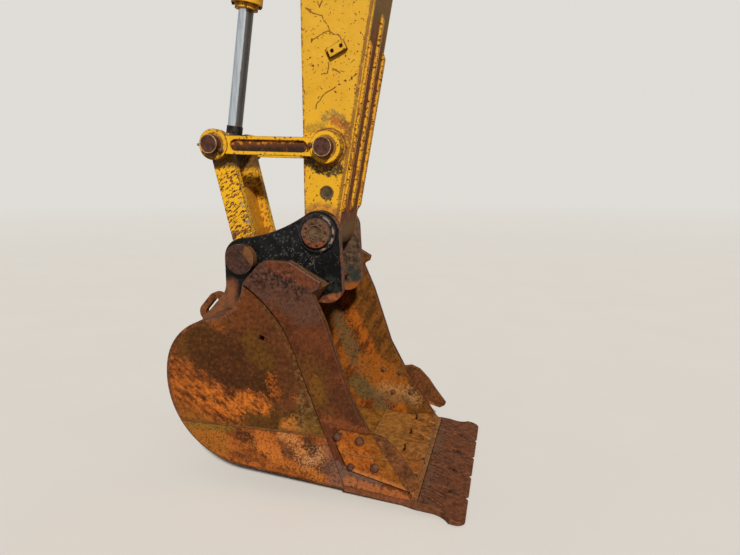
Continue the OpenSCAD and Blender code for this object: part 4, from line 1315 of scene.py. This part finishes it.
class ARM_OT_fit_cutters(bpy.types.Operator):
    """Fit the domed bolts that hold the side cutters, with their nuts inside the bucket."""
    bl_idname = "arm.fit_cutters"
    bl_label = "Fit the cutters"

    def execute(self, context):
        size = settings().cutter_bolt_size
        foot = SIDE_BAR_OUT - CUTTER_OUT - 0.002
        parts, nuts, ribs = [], [], []
        for side in SIDES:
            for at, radius in CUTTER_BOLTS:
                r, (x, z) = radius * size, from_pin(*at)
                dome = [(0.0, foot), (r * 0.92, foot), (r * 0.92, 0.0), (r, 0.001), (r, 0.007),
                        (r * 0.92, 0.012), (r * 0.74, 0.0155), (r * 0.42, 0.018), (0.0, 0.0185)]
                parts.append((dome, sideways((x, z), CUTTER_OUT, side)))
                nuts.append(((x, side * CHEEK_IN, z), (0, -side, 0)))
            ribs.append([(x, side * (CUTTER_OUT - 0.001), z)
                         for x, z in (from_pin(*point) for point in CUTTER_RIB)])
        as_piece("cutter_bolts", turned_mesh(parts, 28, 50), "bucket", bolt_steel())
        bolt_tree().run("cutter_nuts", nuts, {"Head": 0.0135, "Height": 0.012}, "bucket",
                        bolt_steel(), "ground_steel")
        bead_tree().run("cutter_ribs", ribs, {"Radius": 0.0052, "Pitch": 0.003}, "bucket",
                        steel("cast_rib", (104, 58, 26), (150, 90, 42)), "ground_steel")
        return {"FINISHED"}


# The seam between a side plate and its heel plate, and a hose clamp's corners on the arm's side
SEAM_OUT, SEAM_Z, SEAM_X = 0.488, -3.832, (-1.12, -0.9, -0.6, -0.36, -0.325)
CLAMP = ((-0.394, -2.010), (-0.311, -1.971), (-0.330, -1.929), (-0.414, -1.968))

# Beads round the arm's bosses: centre, radius and height above the side. Then the degrees of the
# bead below each ear, and the beads beside the bracket's two plates
BOSS_BEADS = ((IDLER_PIN, 0.085, 0.001), ((0, 0), 0.088, 0.002), (HORN_PIN, 0.090, 0.002))
EAR_ARC = (262, 350)
BRACKET_X, BRACKET_Y, BRACKET_Z = -0.541, (0.053, 0.083), (-0.348, -0.2, -0.067)


class ARM_OT_lay_welds(bpy.types.Operator):
    """Lay the weld beads of the bucket, the arm and the cylinder's bracket."""
    bl_idname = "arm.lay_welds"
    bl_label = "Lay the welds"

    def execute(self, context):
        beads = bead_tree()
        bead = settings().bead_radius
        bucket, arm = [], []
        for side in SIDES:
            for y in (EAR_OUT, EAR_IN):
                bucket.append(circle_points(SCOOP, SCOOP_R, side * y, *EAR_ARC, 30))
            bucket.append([(x, side * SEAM_OUT, SEAM_Z) for x in SEAM_X])
            arm += [circle_points(centre, radius, side * (HALF_ARM + rise))
                    for centre, radius, rise in BOSS_BEADS]
            arm += [[(BRACKET_X, side * y, z) for z in BRACKET_Z] for y in BRACKET_Y]
            arm.append([(x, side * (HALF_ARM + 0.001), z) for x, z in CLAMP + CLAMP[:1]])
        beads.run("bucket_welds", bucket, {"Radius": bead, "Pitch": bead}, "bucket",
                  steel("weld_rust", (76, 44, 24), (116, 74, 36), (124, 88, 50)), "rusty_plate")
        bead *= 0.8
        beads.run("arm_welds", arm, {"Radius": bead, "Pitch": bead}, "stick",
                  yellow_paint("weld_paint", (222, 160, 42), 0.6), "yellow_paint")
        return {"FINISHED"}


# A tooth's pin, ahead of the lip's front and across from the tooth's middle
TOOTH_PIN_AT = (0.042, -0.056)


class ARM_OT_fit_tooth_pins(bpy.types.Operator):
    """Fit the pins of the teeth on their upper faces."""
    bl_idname = "arm.fit_tooth_pins"
    bl_label = "Fit the tooth pins"

    def execute(self, context):
        up = on_lip(0, 0, 1) - on_lip(0, 0, 0)
        ahead, across = TOOTH_PIN_AT
        parts = []
        for i in range(TEETH):
            middle = (i - (TEETH - 1) / 2) * TOOTH_PITCH
            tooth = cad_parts[f"tooth_{i + 1}"]
            place = tooth.matrix_world
            home = place.inverted()
            _, at, way, _ = tooth.ray_cast(home @ on_lip(ahead, middle + across, 0.3),
                                           home.to_3x3() @ -up)
            parts.append((TOOTH_PIN, facing(place @ at, place.to_3x3() @ way)))
        as_piece("tooth_pins", turned_mesh(parts, 24), "bucket",
                 steel("tooth_pin_steel", (44, 28, 22), (92, 60, 44), (150, 108, 80)))
        return {"FINISHED"}


class ARM_OT_set_stage(bpy.types.Operator):
    """Lay the pale floor, light the arm and set the camera."""
    bl_idname = "arm.set_stage"
    bl_label = "Set the stage"

    def execute(self, context):
        s = settings()
        scene = context.scene
        mesh = bpy.data.meshes.new("floor")
        mesh.from_pydata([(x * FLOOR_HALF, y * FLOOR_HALF, steelwork_box[0].z - FLOOR_DROP)
                          for x, y in ((-1, -1), (1, -1), (1, 1), (-1, 1))], [], [(0, 1, 2, 3)])
        mesh.materials.append(pale_floor(s.floor_colour))
        floor = bpy.data.objects.new("floor", mesh)
        scene.collection.objects.link(floor)

        scene.world = bpy.data.worlds.new("studio")
        scene.world.use_nodes = True
        w = Sheet(scene.world.node_tree)
        fill = w.made("ShaderNodeBackground",
                      {"Color": FILL_TINT, "Strength": s.fill_strength})
        pale = w.made("ShaderNodeBackground", {"Color": HAZE, "Strength": 1.0})
        w.node("ShaderNodeOutputWorld",
               {"Surface": w.made("ShaderNodeMixShader", {0: seen(w), 1: fill, 2: pale})})

        lamp = bpy.data.lights.new("key", "SUN")
        lamp.energy, lamp.angle, lamp.color = s.key_strength, SUN_SOFTNESS, SUN_TINT
        key = bpy.data.objects.new("key", lamp)
        key.rotation_euler = Vector(SUN_WAY).to_track_quat("-Z", "Y").to_euler()
        scene.collection.objects.link(key)

        lens = bpy.data.cameras.new("view")
        lens.lens, lens.sensor_width, lens.clip_end = LENS, SENSOR, FARTHEST
        camera = bpy.data.objects.new("view", lens)
        camera.location, camera.rotation_euler = CAMERA_AT, CAMERA_TURN
        scene.collection.objects.link(camera)
        scene.camera = camera
        scene.view_settings.view_transform = "Standard"
        return {"FINISHED"}


def pale_floor(tint):
    """A matt floor that fades into the pale background far away."""
    f = Finish("pale_floor")
    tone = f.mix(f.noise(1.5, 3.0).step(0.3, 0.7) * 0.1, tint, (226, 221, 212))
    near = f.made("ShaderNodeBsdfPrincipled",
                  {"Base Color": f.mix(seen(f), (150, 128, 104), tone), "Roughness": 0.9})
    haze = f.made("ShaderNodeEmission", {"Color": HAZE, "Strength": 1.0})
    far = f.vectors("LENGTH", f.flat(f.x, f.y), output=1).step(5.0, 40.0) * seen(f)
    f.node("ShaderNodeOutputMaterial",
           {"Surface": f.made("ShaderNodeMixShader", {0: far, 1: near, 2: haze})})
    return f.material


def seen(sheet):
    """1 for rays from the camera, a mirror or glass, and 0 for those that only light things."""
    path = sheet.node("ShaderNodeLightPath")
    camera, glossy, clear = (sheet.signal(path, name) for name in (
        "Is Camera Ray", "Is Glossy Ray", "Is Transmission Ray"))
    return camera.high(glossy).high(clear)


OPERATORS = (ARM_OT_paint_arm, ARM_OT_paint_linkage, ARM_OT_finish_cylinder, ARM_OT_rust_bucket,
             ARM_OT_fit_pins, ARM_OT_fit_cylinder, ARM_OT_fit_cutters, ARM_OT_lay_welds,
             ARM_OT_fit_tooth_pins, ARM_OT_set_stage)


class ARM_PT_panel(bpy.types.Panel):
    """The arm's operators and settings."""
    bl_idname = "ARM_PT_panel"
    bl_label = "Excavator arm"
    bl_space_type = "VIEW_3D"
    bl_region_type = "UI"
    bl_category = "Arm"

    def draw(self, context):
        for operator in OPERATORS:
            self.layout.operator(operator.bl_idname)
        for name in ArmSettings.__annotations__:
            self.layout.prop(context.scene.arm_settings, name)


CLASSES = (ArmSettings, *OPERATORS, ARM_PT_panel)


def register():
    for cls in CLASSES:
        bpy.utils.register_class(cls)
    bpy.types.Scene.arm_settings = PointerProperty(type=ArmSettings)


def unregister():
    del bpy.types.Scene.arm_settings
    for cls in reversed(CLASSES):
        bpy.utils.unregister_class(cls)


def main():
    register()
    for operator in OPERATORS:
        group, name = operator.bl_idname.split(".")
        getattr(getattr(bpy.ops, group), name)()


if __name__ == "__main__":
    main()
